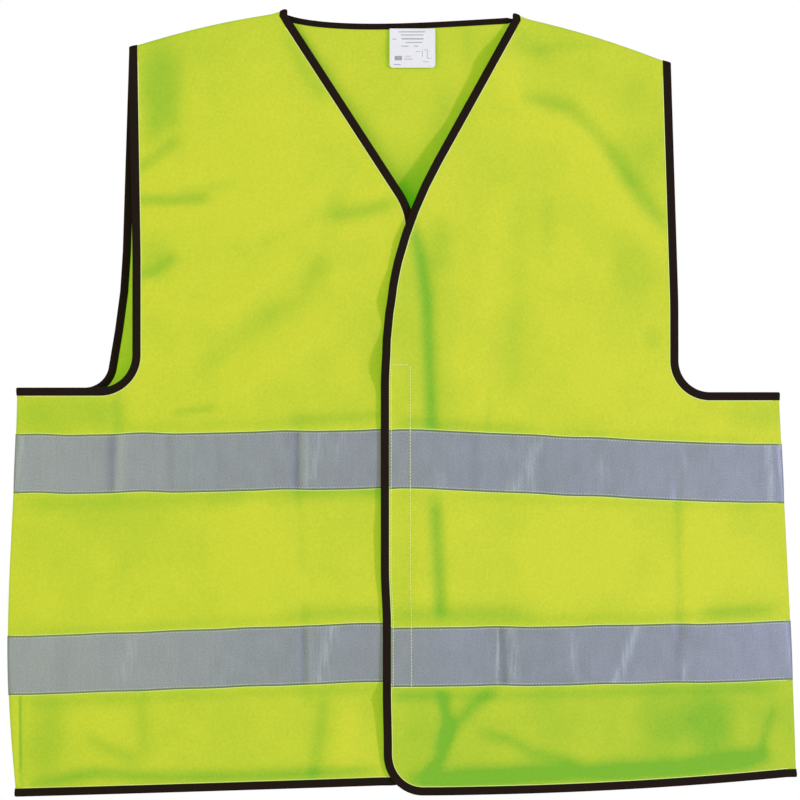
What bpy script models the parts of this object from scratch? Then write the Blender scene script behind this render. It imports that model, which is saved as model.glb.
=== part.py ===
"""High visibility vest, standing as it hangs from the wearer's shoulders.

Metres, +Z up, +X towards the wearer's left, -Y to the front. The origin lies midway between the two
neck points, on the shoulder line. Front pieces are cut flat and then laid on the front of the garment
by front_point(), back pieces by back_point(), so everything sewn to a panel follows the panel.
Across a piece, u is the distance outwards from the middle on its own side, so x = u or -u.
"""

import math

import bmesh
import bpy
from mathutils import Vector

# The cut of the garment
LENGTH = 0.656  # neck point to hem
NECK_HALF_WIDTH = 0.097
NECKLINE_DEPTH = 0.186  # neck point to where the V would meet the front edges
BACK_NECK_DIP = 0.0075
NECK_DIP_SKEW = 0.62  # below 1 the dip is lowest towards the wearer's right
SHOULDER_HALF_WIDTH = 0.229
SHOULDER_DROP = 0.035
SHOULDER_BOW = 0.003  # rise of the shoulder line between its ends
FRONT_CHEST_HALF_WIDTH = 0.231  # middle to the armhole
CHEST_RADIUS = 0.5  # of the armhole's long curve at the chest
BACK_CHEST_HALF_WIDTH = 0.2345
CHEST_LEVEL = 0.205  # where the back is narrowest between the armholes
ARMHOLE_DEPTH = 0.3195
UNDERARM_HALF_WIDTH = 0.321
HEM_HALF_WIDTH = 0.329
SIDE_BOW_SKEW = 1.5  # above 1 the side seam bows most below its middle
HEM_RUN = 1.5  # hem that the front edge takes with it round the corner, in corner radii
FRONT_OVERLAP = 0.0258
OVERLAP_SHIFT = -0.0021  # middle of the overlap from the middle of the back
BACK_HEM_RISE = 0.008

# Cloth and trimmings
CLOTH = 0.0012
TAPE = 0.0008
TAPE_WIDTH = 0.050
UPPER_TAPE_DROP = 0.355  # neck point to the tape's top edge
LOWER_TAPE_DROP = 0.519
BINDING_WALL = 0.0009
BINDING_REACH = 0.0057  # how far the binding covers the cloth
BACK_NECK_REACH = 0.0033
SEAM_ALLOWANCE = 0.006
SEAM_CROWN = 0.002  # how far a seam stands past the panels it joins
CLOSURE_WIDTH = 0.0195
CLOSURE_THICKNESS = 0.0012
CLOSURE_TOP = 0.296
CLOSURE_LENGTH = 0.276
LABEL_WIDTH = 0.0388
LABEL_HEIGHT = 0.0333
LABEL_THICKNESS = 0.0006
LABEL_OFFSET = 0.0106  # label's middle from the garment's middle
LABEL_CORNER = 0.0025

# How it hangs
ROLL = 0.0022  # half the distance between front and back where they are sewn together
HEM_FULLNESS = 0.046  # how far the front stands off the back at the hem
FULLNESS_POWER = 2.5
LAP_LIFT = 0.0062  # left front over right front
LAP_FLAT = 0.014  # the lifted front is level inwards of this
FOLD = 0.090  # middle to the line where an opened front folds
FOLD_RADIUS = 0.005  # cloth to fold axis

# Clearances
SEWN_GAP = 0.0003  # between sewn layers
FOLD_GAP = 0.0003  # between the two halves of a folding piece
SEAM_END_GAP = 0.001  # from the end of a seam to the binding across it

# The garment is cut alike on both sides and settles a little differently on each. A line across a
# front is given by its rise at the middle, its rise at the side seam and the power of its curve. An
# armhole is given by how far out its chest lies, how far its cut slants out below that, how far the
# chest lies below CHEST_LEVEL and the radius of the corner under the arm.
SETTLE = {
    "right": {
        "sign": -1,
        "neck": 0.0,
        "shoulder": 0.005,
        "neckline": 0.0198,
        "neckline_radius": 0.060,
        "underarm": 0.0014,
        "front_armhole": (-0.005, 0.0, 0.0, 0.029),
        "back_armhole": (0.0010, 0.0139, 0.030, 0.022),
        "underarm_out": 0.002,
        "hem_out": -0.0045,
        "side_bow": 0.007,
        "corner_radius": 0.018,
        "upper_tape": (0.004, -0.002, 0.6),
        "lower_tape": (0.0037, -0.0091, 1.0),
        "hem": (0.004, -0.0074, 1.0),
    },
    "left": {
        "sign": 1,
        "neck": -0.0034,
        "shoulder": -0.0085,
        "neckline": -0.0195,
        "neckline_radius": 0.360,
        "underarm": -0.0025,
        "front_armhole": (0.0042, 0.0, 0.040, 0.028),
        "back_armhole": (-0.0030, 0.0, 0.0, 0.028),
        "underarm_out": -0.0015,
        "hem_out": 0.0055,
        "side_bow": 0.001,
        "corner_radius": 0.034,
        "upper_tape": (0.0025, -0.0107, 1.0),
        "lower_tape": (-0.001, 0.004, 2.0),
        "hem": (-0.005, 0.0094, 2.0),
    },
}

# Spacing of the points that let a flat piece follow the curved front
NECK_STEPS = 16
LAP_COLUMN = 0.008
PANEL_COLUMN = 0.016
ROW = 0.060
ARC_STEP = math.radians(9)
ROLL_STEPS = 6
CUT_SNAP = 0.0002  # a cut this near a point goes through it
WELD = 1e-6
MOST_MITRE = 2  # the most that a corner's ring is stretched

FINISHES = {
    "cloth": ((0.62, 0.78, 0.03, 1), 0.85, 0.0),
    "binding": ((0.012, 0.010, 0.008, 1), 0.8, 0.0),
    "tape": ((0.33, 0.36, 0.38, 1), 0.4, 0.2),
    "closure": ((0.60, 0.75, 0.05, 1), 0.95, 0.0),
    "label": ((0.85, 0.86, 0.86, 1), 0.6, 0.0),
}


def blend(low, high, share):
    return low + (high - low) * share


def within(value, low, high):
    return max(low, min(high, value))


# Lines of the garment, as heights and half widths


def shoulder_z(side, u):
    settle = SETTLE[side]
    share = within((abs(u) - NECK_HALF_WIDTH) / (SHOULDER_HALF_WIDTH - NECK_HALF_WIDTH), 0, 1)
    end = -SHOULDER_DROP + settle["shoulder"]
    return blend(settle["neck"], end, share) + SHOULDER_BOW * math.sin(math.pi * share)


def half_width(side, z):
    """Middle to the side seam at height z."""
    settle = SETTLE[side]
    share = within((-z - ARMHOLE_DEPTH) / (LENGTH - ARMHOLE_DEPTH), 0, 1)
    straight = blend(
        UNDERARM_HALF_WIDTH + settle["underarm_out"], HEM_HALF_WIDTH + settle["hem_out"], share
    )
    return straight + settle["side_bow"] * math.sin(math.pi * share**SIDE_BOW_SKEW)


def line_z(side, line, u):
    """Height of a tape's top edge or of the hem on a front, u out from the middle."""
    drop = {"upper_tape": UPPER_TAPE_DROP, "lower_tape": LOWER_TAPE_DROP, "hem": LENGTH}[line]
    middle, outer, power = SETTLE[side][line]
    share = within(abs(u) / HEM_HALF_WIDTH, 0, 1)
    return -drop + blend(middle, outer, share**power)


def back_line_z(line, x, rise=0.0):
    """Height of the same line on the back, which meets both fronts at the side seams."""
    right = line_z("right", line, HEM_HALF_WIDTH)
    left = line_z("left", line, HEM_HALF_WIDTH)
    share = within((x / HEM_HALF_WIDTH + 1) / 2, 0, 1)
    return blend(right, left, share) + rise * (1 - (2 * share - 1) ** 2)


def front_edge_u(side):
    """The front's own edge, past the middle, as a u of its own side."""
    return SETTLE[side]["sign"] * OVERLAP_SHIFT - FRONT_OVERLAP / 2


# Where the garment's surfaces lie


def billow(side, u, z):
    below = max(shoulder_z(side, u) - z, 0)
    across = min(abs(u) / half_width(side, z), 1)
    return HEM_FULLNESS * below / LENGTH * (1 - across**FULLNESS_POWER)


def lap(side, u):
    if side == "right":
        return 0.0
    share = within((FOLD - u) / (FOLD - LAP_FLAT), 0, 1)
    return LAP_LIFT * share * share * (3 - 2 * share)


def front_point(side, u, z, out=0.0):
    """A point of the front at (u, z), out from the middle of its cloth."""
    depth = ROLL + billow(side, u, z) + lap(side, u) + out
    return Vector((u * SETTLE[side]["sign"], -depth, z))


def back_point(x, z, out=0.0):
    return Vector((x, ROLL + out, z))


def over_shoulder(side, u, turn, out):
    """A point on the roll over the shoulder: turn 0 meets the front and pi the back."""
    reach = ROLL + out
    return Vector(
        (
            u * SETTLE[side]["sign"],
            -reach * math.cos(turn),
            shoulder_z(side, u) + reach * math.sin(turn),
        )
    )


def round_side(side, z, turn, out):
    reach = ROLL + out
    return Vector(
        (
            (half_width(side, z) + reach * math.sin(turn)) * SETTLE[side]["sign"],
            -reach * math.cos(turn),
            z,
        )
    )


# Cut lines, as points (u, z) with the cloth on the left of the way they run


def rounded(points, radii):
    """The polyline with each inner corner turned into an arc of its radius."""
    path = [Vector(points[0])]
    for before, corner, after, radius in zip(points, points[1:], points[2:], radii):
        corner = Vector(corner)
        back = (Vector(before) - corner).normalized()
        ahead = (Vector(after) - corner).normalized()
        bend = math.pi - back.angle(ahead)
        if radius <= 0 or bend < 1e-4:
            path.append(corner)
            continue
        middle = corner + (back + ahead).normalized() * radius / math.cos(bend / 2)
        start = corner + back * radius * math.tan(bend / 2) - middle
        turn = bend if back.cross(ahead) < 0 else -bend
        steps = max(2, math.ceil(bend / ARC_STEP))
        for step in range(steps + 1):
            angle = turn * step / steps
            c, s = math.cos(angle), math.sin(angle)
            path.append(middle + Vector((c * start.x - s * start.y, s * start.x + c * start.y)))
    path.append(Vector(points[-1]))
    return path


def neckline_path(side):
    """Neck point, down the V and the front edge, round the corner and onto the hem."""
    settle = SETTLE[side]
    edge = front_edge_u(side)
    hem_start = edge + settle["corner_radius"] * HEM_RUN
    return rounded(
        [
            (NECK_HALF_WIDTH, shoulder_z(side, NECK_HALF_WIDTH)),
            (edge, -NECKLINE_DEPTH + settle["neckline"]),
            (edge, line_z(side, "hem", edge)),
            (hem_start, line_z(side, "hem", hem_start)),
        ],
        [settle["neckline_radius"], settle["corner_radius"]],
    )


def hem_path(side):
    """From where neckline_path ends out to the side seam."""
    start = neckline_path(side)[-1].x
    end = half_width(side, line_z(side, "hem", HEM_HALF_WIDTH))
    steps = math.ceil((end - start) / PANEL_COLUMN)
    us = [blend(start, end, step / steps) for step in range(steps + 1)]
    return [Vector((u, line_z(side, "hem", u))) for u in us]


def side_path(side, bottom, top):
    steps = math.ceil((top - bottom) / ROW)
    zs = [blend(bottom, top, step / steps) for step in range(steps + 1)]
    return [Vector((half_width(side, z), z)) for z in zs]


def underarm_z(side):
    return -ARMHOLE_DEPTH + SETTLE[side]["underarm"]


def armhole_path(side, panel):
    """From the side seam under the arm and up to the shoulder."""
    out, slant, lower, radius = SETTLE[side][panel + "_armhole"]
    level = underarm_z(side)
    chest = out + (FRONT_CHEST_HALF_WIDTH if panel == "front" else BACK_CHEST_HALF_WIDTH)
    return rounded(
        [
            (half_width(side, level), level),
            (chest + slant, level),
            (chest, -CHEST_LEVEL - lower),
            (SHOULDER_HALF_WIDTH, shoulder_z(side, SHOULDER_HALF_WIDTH)),
        ],
        [radius, CHEST_RADIUS],
    )


def shoulder_path(side):
    """From the armhole up to the neck point."""
    steps = math.ceil((SHOULDER_HALF_WIDTH - NECK_HALF_WIDTH) / PANEL_COLUMN)
    us = [blend(SHOULDER_HALF_WIDTH, NECK_HALF_WIDTH, step / steps) for step in range(steps + 1)]
    return [Vector((u, shoulder_z(side, u))) for u in us]


def back_neck_z(x):
    """The back neck edge, lower on the wearer's right where the cloth has settled."""
    share = within((x / NECK_HALF_WIDTH + 1) / 2, 0, 1)
    ends = blend(SETTLE["right"]["neck"], SETTLE["left"]["neck"], share)
    return ends - BACK_NECK_DIP * math.sin(math.pi * share**NECK_DIP_SKEW)


def front_outline(side):
    hem = hem_path(side)
    edges = [
        neckline_path(side),
        hem,
        side_path(side, hem[-1].y, underarm_z(side)),
        armhole_path(side, "front"),
        shoulder_path(side),
    ]
    return joined(edges)


def joined(edges):
    """Edges that meet end to end as one closed outline."""
    outline = []
    for edge in edges:
        for point in edge:
            if not outline or (point - outline[-1]).length > WELD:
                outline.append(point)
    if (outline[0] - outline[-1]).length < WELD:
        outline.pop()
    return outline


def cut_at(outline, u, inner):
    """The part of a closed outline that lies inside or outside of the line at u."""
    kept = []
    for a, b in zip(outline, outline[1:] + outline[:1]):
        a_in = (a.x <= u) == inner
        b_in = (b.x <= u) == inner
        if a_in:
            kept.append(a)
        if a_in != b_in:
            kept.append(a.lerp(b, (u - a.x) / (b.x - a.x)))
    return kept


def run_past(path, u, inner):
    """The first unbroken run of an open path that lies inside or outside of the line at u."""
    kept = []
    for a, b in zip(path, path[1:]):
        a_in = (a.x <= u) == inner
        b_in = (b.x <= u) == inner
        if a_in:
            kept.append(a)
        if a_in != b_in:
            kept.append(a.lerp(b, (u - a.x) / (b.x - a.x)))
            if kept and a_in:
                return kept
    if (path[-1].x <= u) == inner:
        kept.append(path[-1])
    return kept


def spaced(path, column, row=ROW):
    """The same path with points close enough to follow the surface."""
    points = [path[0]]
    for a, b in zip(path, path[1:]):
        steps = max(1, math.ceil(abs(b.x - a.x) / column), math.ceil(abs(b.y - a.y) / row))
        points += [a.lerp(b, step / steps) for step in range(1, steps + 1)]
    return points


# Making the pieces


def finish_of(name, kind):
    color, roughness, metallic = FINISHES[kind]
    finish = bpy.data.materials.new(name + "_finish")
    finish.use_nodes = True
    shader = finish.node_tree.nodes["Principled BSDF"]
    shader.inputs["Base Color"].default_value = color
    shader.inputs["Roughness"].default_value = roughness
    shader.inputs["Metallic"].default_value = metallic
    finish.diffuse_color = color
    return finish


def add_piece(name, mesh, kind, parent):
    for face in mesh.polygons:
        face.use_smooth = True
    mesh.set_sharp_from_angle(angle=math.radians(30))
    mesh.materials.append(finish_of(name, kind))
    piece = bpy.data.objects.new(name, mesh)
    vest.objects.link(piece)
    if parent:
        piece.parent = parent
        piece.matrix_parent_inverse = parent.matrix_world.inverted()
    return piece


def flat_mesh(name, outline, low, high):
    """A flat piece cut along the outline in X and Y, from low to high in Z, with its caps welded on."""
    curve = bpy.data.curves.new(name, "CURVE")
    curve.dimensions = "2D"
    curve.fill_mode = "BOTH"
    curve.extrude = (high - low) / 2
    spline = curve.splines.new("POLY")
    spline.points.add(len(outline) - 1)
    for point, (x, y) in zip(spline.points, outline):
        point.co = (x, y, 0, 1)
    spline.use_cyclic_u = True
    holder = bpy.data.objects.new(name, curve)
    bpy.context.scene.collection.objects.link(holder)
    graph = bpy.context.evaluated_depsgraph_get()
    mesh = bpy.data.meshes.new_from_object(holder.evaluated_get(graph))
    bpy.data.objects.remove(holder)
    bpy.data.curves.remove(curve)
    mesh.name = name
    form = bmesh.new()
    form.from_mesh(mesh)
    bmesh.ops.remove_doubles(form, verts=form.verts, dist=WELD)
    for up in (1, -1):
        cap = [face for face in form.faces if face.normal.z * up > 0.5]
        bmesh.ops.dissolve_faces(form, faces=cap)
    bmesh.ops.translate(form, verts=form.verts, vec=(0, 0, (low + high) / 2))
    form.to_mesh(mesh)
    form.free()
    return mesh


def cut_rows(mesh, columns, rows):
    """Cuts the flat piece along upright and level lines, so that it can follow a curve."""
    form = bmesh.new()
    form.from_mesh(mesh)
    for normal, places in (((1, 0, 0), columns), ((0, 1, 0), rows)):
        for place in places:
            bmesh.ops.bisect_plane(
                form,
                geom=form.verts[:] + form.edges[:] + form.faces[:],
                dist=CUT_SNAP,
                plane_co=Vector(normal) * place,
                plane_no=normal,
            )
    form.to_mesh(mesh)
    form.free()


def face_out(form):
    """Points the faces of a closed form outwards."""
    bmesh.ops.recalc_face_normals(form, faces=form.faces)
    if form.calc_volume(signed=True) < 0:
        bmesh.ops.reverse_faces(form, faces=form.faces)


def lay(mesh, place):
    """Moves each flat point (x, y, out) to place(x, y, out) and points the faces outwards."""
    form = bmesh.new()
    form.from_mesh(mesh)
    for vert in form.verts:
        vert.co = place(*vert.co)
    face_out(form)
    form.to_mesh(mesh)
    form.free()


def places_between(low, high, step):
    first = math.ceil(low / step)
    last = math.floor(high / step)
    return [number * step for number in range(first, last + 1)]


def front_piece(name, side, outline, low, high, kind="cloth", parent=None):
    mesh = flat_mesh(name, outline, low, high)
    us = [point.x for point in outline]
    zs = [point.y for point in outline]
    columns = places_between(min(us), min(max(us), FOLD), LAP_COLUMN)
    columns += places_between(max(min(us), FOLD), max(us), PANEL_COLUMN)
    cut_rows(mesh, columns, places_between(min(zs), max(zs), ROW))
    lay(mesh, lambda u, z, out: front_point(side, u, z, out))
    return add_piece(name, mesh, kind, parent)


def back_piece(name, outline, low, high, kind="cloth", parent=None):
    mesh = flat_mesh(name, outline, low, high)
    lay(mesh, back_point)
    return add_piece(name, mesh, kind, parent)


def upright_piece(name, sign, outline, low, high, kind, parent=None):
    """A flat piece that stands between front and back, from low to high in Y."""
    mesh = flat_mesh(name, outline, low, high)
    lay(mesh, lambda u, z, y: Vector((u * sign, y, z)))
    return add_piece(name, mesh, kind, parent)


def binding_profile(reach):
    """Section of a binding folded over a cloth edge: (distance into the cloth, out from its middle)."""
    inside = CLOTH / 2 + SEWN_GAP
    outside = inside + BINDING_WALL
    fold = -SEWN_GAP - BINDING_WALL
    return [
        (reach, inside),
        (reach, outside),
        (fold, outside),
        (fold, -outside),
        (reach, -outside),
        (reach, -inside),
        (-SEWN_GAP, -inside),
        (-SEWN_GAP, inside),
    ]


def inward(path, index):
    """Direction into the cloth, with the stretch that a mitred corner needs."""
    here = path[index]
    before = (here - path[index - 1]).normalized() if index else None
    after = (path[index + 1] - here).normalized() if index + 1 < len(path) else None
    along = ((before or after) + (after or before)).normalized()
    stretch = min(1 / along.dot(before or after), MOST_MITRE)
    return Vector((-along.y, along.x)) * stretch


def rings_on(path, place, reach=BINDING_REACH, fold_ends=()):
    """Rings of the profile along the path. Ends 0 or -1 in fold_ends are cut along the fold line."""
    cut = [path[end] for end in fold_ends]
    rings = []
    for index, point in enumerate(path):
        into = inward(path, index)
        along = Vector((into.y, -into.x))
        ring = []
        for depth, out in binding_profile(reach):
            corner = point + into * depth
            if point in cut:
                corner -= along * (into.x * depth / along.x)
            ring.append(place(*corner, out))
        rings.append(ring)
    return rings


def on_front(side):
    return lambda u, z, out: front_point(side, u, z, out)


def on_back(side):
    return lambda u, z, out: back_point(u * SETTLE[side]["sign"], z, out)


def turns():
    return [math.pi * step / ROLL_STEPS for step in range(ROLL_STEPS + 1)]


def shoulder_rings(side, u, into, reaches):
    """Rings over the shoulder from front to back, with the cloth on the into side of u."""
    rings = []
    for turn, reach in zip(turns(), reaches):
        profile = binding_profile(reach)
        rings.append([over_shoulder(side, u + into * depth, turn, out) for depth, out in profile])
    return rings


def side_rings(side, z, into):
    profile = binding_profile(BINDING_REACH)
    return [[round_side(side, z + into * depth, turn, out) for depth, out in profile] for turn in turns()]


def bound_edge(name, rings, closed=False, parent=None):
    """A binding as one skin through its rings, with end caps where it isn't a closed loop."""
    form = bmesh.new()
    loops = [[form.verts.new(point) for point in ring] for ring in rings]
    count = len(loops[0])
    pairs = list(zip(loops, loops[1:]))
    if closed:
        pairs.append((loops[-1], loops[0]))
    for first, second in pairs:
        for corner in range(count):
            near = (corner + 1) % count
            form.faces.new((first[corner], first[near], second[near], second[corner]))
    if not closed:
        form.faces.new(loops[0])
        form.faces.new(loops[-1])
    face_out(form)
    mesh = bpy.data.meshes.new(name)
    form.to_mesh(mesh)
    form.free()
    return add_piece(name, mesh, "binding", parent)


# The garment, piece by piece


def make_panels(side, flap_axis):
    outline = front_outline(side)
    half = CLOTH / 2
    panel = cut_at(outline, FOLD + FOLD_GAP / 2, inner=False)
    flap = cut_at(outline, FOLD - FOLD_GAP / 2, inner=True)
    front_piece(side + "_front_panel", side, panel, -half, half)
    front_piece(side + "_front_flap", side, flap, -half, half, parent=flap_axis)


def make_back_panel():
    half_outlines = {}
    for side in SETTLE:
        sign = SETTLE[side]["sign"]
        hem = [Vector((u, back_line_z("hem", u * sign, BACK_HEM_RISE))) for u in back_us(side)]
        half_outlines[side] = joined(
            [
                hem,
                side_path(side, hem[-1].y, underarm_z(side)),
                armhole_path(side, "back"),
                shoulder_path(side),
            ]
        )
    neck = [Vector((x, back_neck_z(x))) for x in neck_xs()[1:-1]]
    left = half_outlines["left"]
    right = [Vector((-u, z)) for u, z in reversed(half_outlines["right"][1:])]
    back_piece("back_panel", left + neck[::-1] + right, -CLOTH / 2, CLOTH / 2)


def back_us(side):
    end = half_width(side, line_z(side, "hem", HEM_HALF_WIDTH))
    steps = math.ceil(end / PANEL_COLUMN / 2)
    return [end * step / steps for step in range(steps + 1)]


def neck_xs():
    return [blend(-NECK_HALF_WIDTH, NECK_HALF_WIDTH, step / NECK_STEPS) for step in range(NECK_STEPS + 1)]


def seam_band(line, across):
    """The outline of a seam along a line, past it by the crown and back by the allowance."""
    crown = [point + across * SEAM_CROWN for point in line]
    allowance = [point - across * SEAM_ALLOWANCE for point in line]
    return crown + allowance[::-1]


def make_seams(side):
    sign = SETTLE[side]["sign"]
    half = ROLL - CLOTH / 2 - SEWN_GAP
    clear = BINDING_REACH + SEAM_END_GAP
    near = NECK_HALF_WIDTH + clear
    far = SHOULDER_HALF_WIDTH - clear
    us = [far] + [point.x for point in shoulder_path(side) if near < point.x < far] + [near]
    line = [Vector((u, shoulder_z(side, u))) for u in us]
    band = seam_band(line, Vector((0, 1)))
    upright_piece(side + "_shoulder_seam", sign, band, -half, half, "cloth")
    inner = half_width(side, -LENGTH) - SEAM_ALLOWANCE
    hem = max(line_z(side, "hem", inner), back_line_z("hem", inner * sign, BACK_HEM_RISE))
    line = side_path(side, hem + clear, underarm_z(side) - clear)
    band = seam_band(line, Vector((1, 0)))
    upright_piece(side + "_side_seam", sign, band, -half, half, "cloth")


def make_armhole_binding(side):
    front = spaced(armhole_path(side, "front"), PANEL_COLUMN)
    back = armhole_path(side, "back")
    over = shoulder_rings(side, SHOULDER_HALF_WIDTH, -1, [BINDING_REACH] * (ROLL_STEPS + 1))
    rings = rings_on(front, on_front(side))[1:-1]
    rings += over
    rings += rings_on(back, on_back(side))[1:-1][::-1]
    rings += side_rings(side, underarm_z(side), -1)[::-1]
    bound_edge(side + "_armhole_binding", rings, closed=True)


def make_neck_binding():
    """Round the back neck and over each shoulder to the fold lines."""
    grow = [blend(BINDING_REACH, BACK_NECK_REACH, step / ROLL_STEPS) for step in range(ROLL_STEPS + 1)]
    ends = {}
    for side in SETTLE:
        down = run_past(neckline_path(side), FOLD + FOLD_GAP / 2, inner=False)
        front = rings_on(down, on_front(side), fold_ends=[-1])[1:][::-1]
        ends[side] = front + shoulder_rings(side, NECK_HALF_WIDTH, 1, grow)
    neck = [Vector((-x, back_neck_z(x))) for x in neck_xs()[1:-1]]
    back = rings_on(neck, on_back("right"), BACK_NECK_REACH)
    bound_edge("neck_binding", ends["right"] + back + ends["left"][::-1])


def make_hem_binding():
    ends = {}
    for side in SETTLE:
        front = run_past(hem_path(side)[::-1], FOLD + FOLD_GAP / 2, inner=False)[::-1]
        front = spaced(front, PANEL_COLUMN)
        z = front[-1].y
        ends[side] = rings_on(front, on_front(side), fold_ends=[0])[:-1] + side_rings(side, z, 1)
    hem = [Vector((-u, back_line_z("hem", -u, BACK_HEM_RISE))) for u in back_us("right")[1:-1]][::-1]
    hem += [Vector((u, back_line_z("hem", u, BACK_HEM_RISE))) for u in back_us("left")[:-1]]
    back = rings_on(hem, on_back("left"))
    bound_edge("hem_binding", ends["right"] + back + ends["left"][::-1])


def make_front_edge_binding(side, flap_axis):
    whole = joined([neckline_path(side), hem_path(side)])
    edge = FOLD - FOLD_GAP / 2
    path = run_past(whole, edge, inner=True)
    rings = rings_on(spaced(path, LAP_COLUMN), on_front(side), fold_ends=[0, -1])
    bound_edge(side + "_front_edge_binding", rings, parent=flap_axis)


def tape_outline(top, inner, outer_of):
    """A tape between two uprights, below the line top(u)."""
    outer = outer_of(top(inner))
    steps = math.ceil((outer - inner) / PANEL_COLUMN)
    us = [blend(inner, outer, step / steps) for step in range(steps + 1)]
    upper = [Vector((u, top(u))) for u in us]
    lower = [Vector((u, top(u) - TAPE_WIDTH)) for u in us]
    lower[-1].x = outer_of(lower[-1].y)
    return lower + upper[::-1]


def make_tapes(side, flap_axis):
    low = CLOTH / 2 + SEWN_GAP
    high = low + TAPE
    past_binding = front_edge_u(side) + BINDING_REACH + SEWN_GAP
    for line, name in (("upper_tape", "upper_"), ("lower_tape", "lower_")):
        whole = tape_outline(
            lambda u: line_z(side, line, u), past_binding, lambda z: half_width(side, z)
        )
        panel = cut_at(whole, FOLD + FOLD_GAP / 2, inner=False)
        flap = cut_at(whole, FOLD - FOLD_GAP / 2, inner=True)
        front_piece(name + side + "_front_tape", side, panel, low, high, "tape")
        front_piece(name + side + "_flap_tape", side, flap, low, high, "tape", flap_axis)


def make_back_tapes():
    low = CLOTH / 2 + SEWN_GAP
    for line, name in (("upper_tape", "upper_back_tape"), ("lower_tape", "lower_back_tape")):
        right = -half_width("right", line_z("right", line, HEM_HALF_WIDTH))
        left = half_width("left", line_z("left", line, HEM_HALF_WIDTH))
        corners = [Vector((x, back_line_z(line, x))) for x in (right, left)]
        drop = Vector((0, TAPE_WIDTH))
        outline = [corners[0] - drop, corners[1] - drop, corners[1], corners[0]]
        back_piece(name, outline, low, low + TAPE, "tape")


def strip_outline(inner, width):
    top = -CLOSURE_TOP
    bottom = top - CLOSURE_LENGTH
    outer = inner + width
    return [Vector(p) for p in ((inner, bottom), (outer, bottom), (outer, top), (inner, top))]


def make_closure(left_axis, right_axis):
    """The strip under the left front, and the one that it presses onto, over the tapes of the right."""
    outline = strip_outline(front_edge_u("left") + BINDING_REACH + SEWN_GAP, CLOSURE_WIDTH)
    near = CLOTH / 2 + SEWN_GAP
    front_piece(
        "hook_strip", "left", outline, -near - CLOSURE_THICKNESS, -near, "closure", left_axis
    )
    outline = strip_outline(front_edge_u("right") + BINDING_REACH + SEWN_GAP, CLOSURE_WIDTH)
    over_tape = CLOTH / 2 + SEWN_GAP + TAPE + SEWN_GAP
    front_piece(
        "loop_strip", "right", outline, over_tape, over_tape + CLOSURE_THICKNESS, "closure", right_axis
    )


def label_top():
    return Vector((LABEL_OFFSET, label_y(), back_neck_z(LABEL_OFFSET) - BACK_NECK_REACH - SEWN_GAP))


def label_y():
    """Clear of the neck binding in front of it, so that the label can swing up."""
    return ROLL - CLOTH / 2 - SEWN_GAP - BINDING_WALL - SEWN_GAP - LABEL_THICKNESS / 2


def make_label(axis):
    top = label_top()
    half = LABEL_WIDTH / 2
    outline = rounded(
        [
            (top.x - half, top.z),
            (top.x - half, top.z - LABEL_HEIGHT),
            (top.x + half, top.z - LABEL_HEIGHT),
            (top.x + half, top.z),
        ],
        [LABEL_CORNER, LABEL_CORNER],
    )
    y = top.y
    thick = LABEL_THICKNESS / 2
    upright_piece("care_label", 1, outline, y - thick, y + thick, "label", axis)


def add_axis(name, place, along):
    """An empty on a joint's axis, with its Z along it."""
    axis = bpy.data.objects.new(name, None)
    axis.empty_display_size = 0.02
    axis.location = place
    axis.rotation_mode = "QUATERNION"
    axis.rotation_quaternion = Vector((0, 0, 1)).rotation_difference(along)
    vest.objects.link(axis)
    bpy.context.view_layer.update()
    return axis


def fold_axis(side):
    """Through the fold line at the neckline and at the hem, in front of the cloth."""
    top = run_past(neckline_path(side), FOLD, inner=True)[0]
    ends = [front_point(side, FOLD, z, FOLD_RADIUS) for z in (top.y, line_z(side, "hem", FOLD))]
    along = (ends[0] - ends[1]).normalized()
    return add_axis(side + "_fold_axis", ends[0].lerp(ends[1], 0.5), along)


for old in list(bpy.data.objects):
    bpy.data.objects.remove(old)
vest = bpy.data.collections.new("high_visibility_vest")
bpy.context.scene.collection.children.link(vest)

left_axis = fold_axis("left")
right_axis = fold_axis("right")
label_axis = add_axis("label_axis", label_top(), Vector((-1, 0, 0)))
make_back_panel()
make_back_tapes()
for side, axis in (("left", left_axis), ("right", right_axis)):
    make_panels(side, axis)
    make_seams(side)
    make_armhole_binding(side)
    make_front_edge_binding(side, axis)
    make_tapes(side, axis)
make_neck_binding()
make_hem_binding()
make_closure(left_axis, right_axis)
make_label(label_axis)
for axis in (left_axis, right_axis, label_axis):
    place = axis.matrix_world.to_translation()
    along = axis.matrix_world.to_3x3() @ Vector((0, 0, 1))
    print(axis.name, [round(v, 6) for v in place], [round(v, 6) for v in along])
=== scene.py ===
import math

import bpy
import numpy as np
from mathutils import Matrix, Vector
from mathutils.geometry import delaunay_2d_cdt


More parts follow.
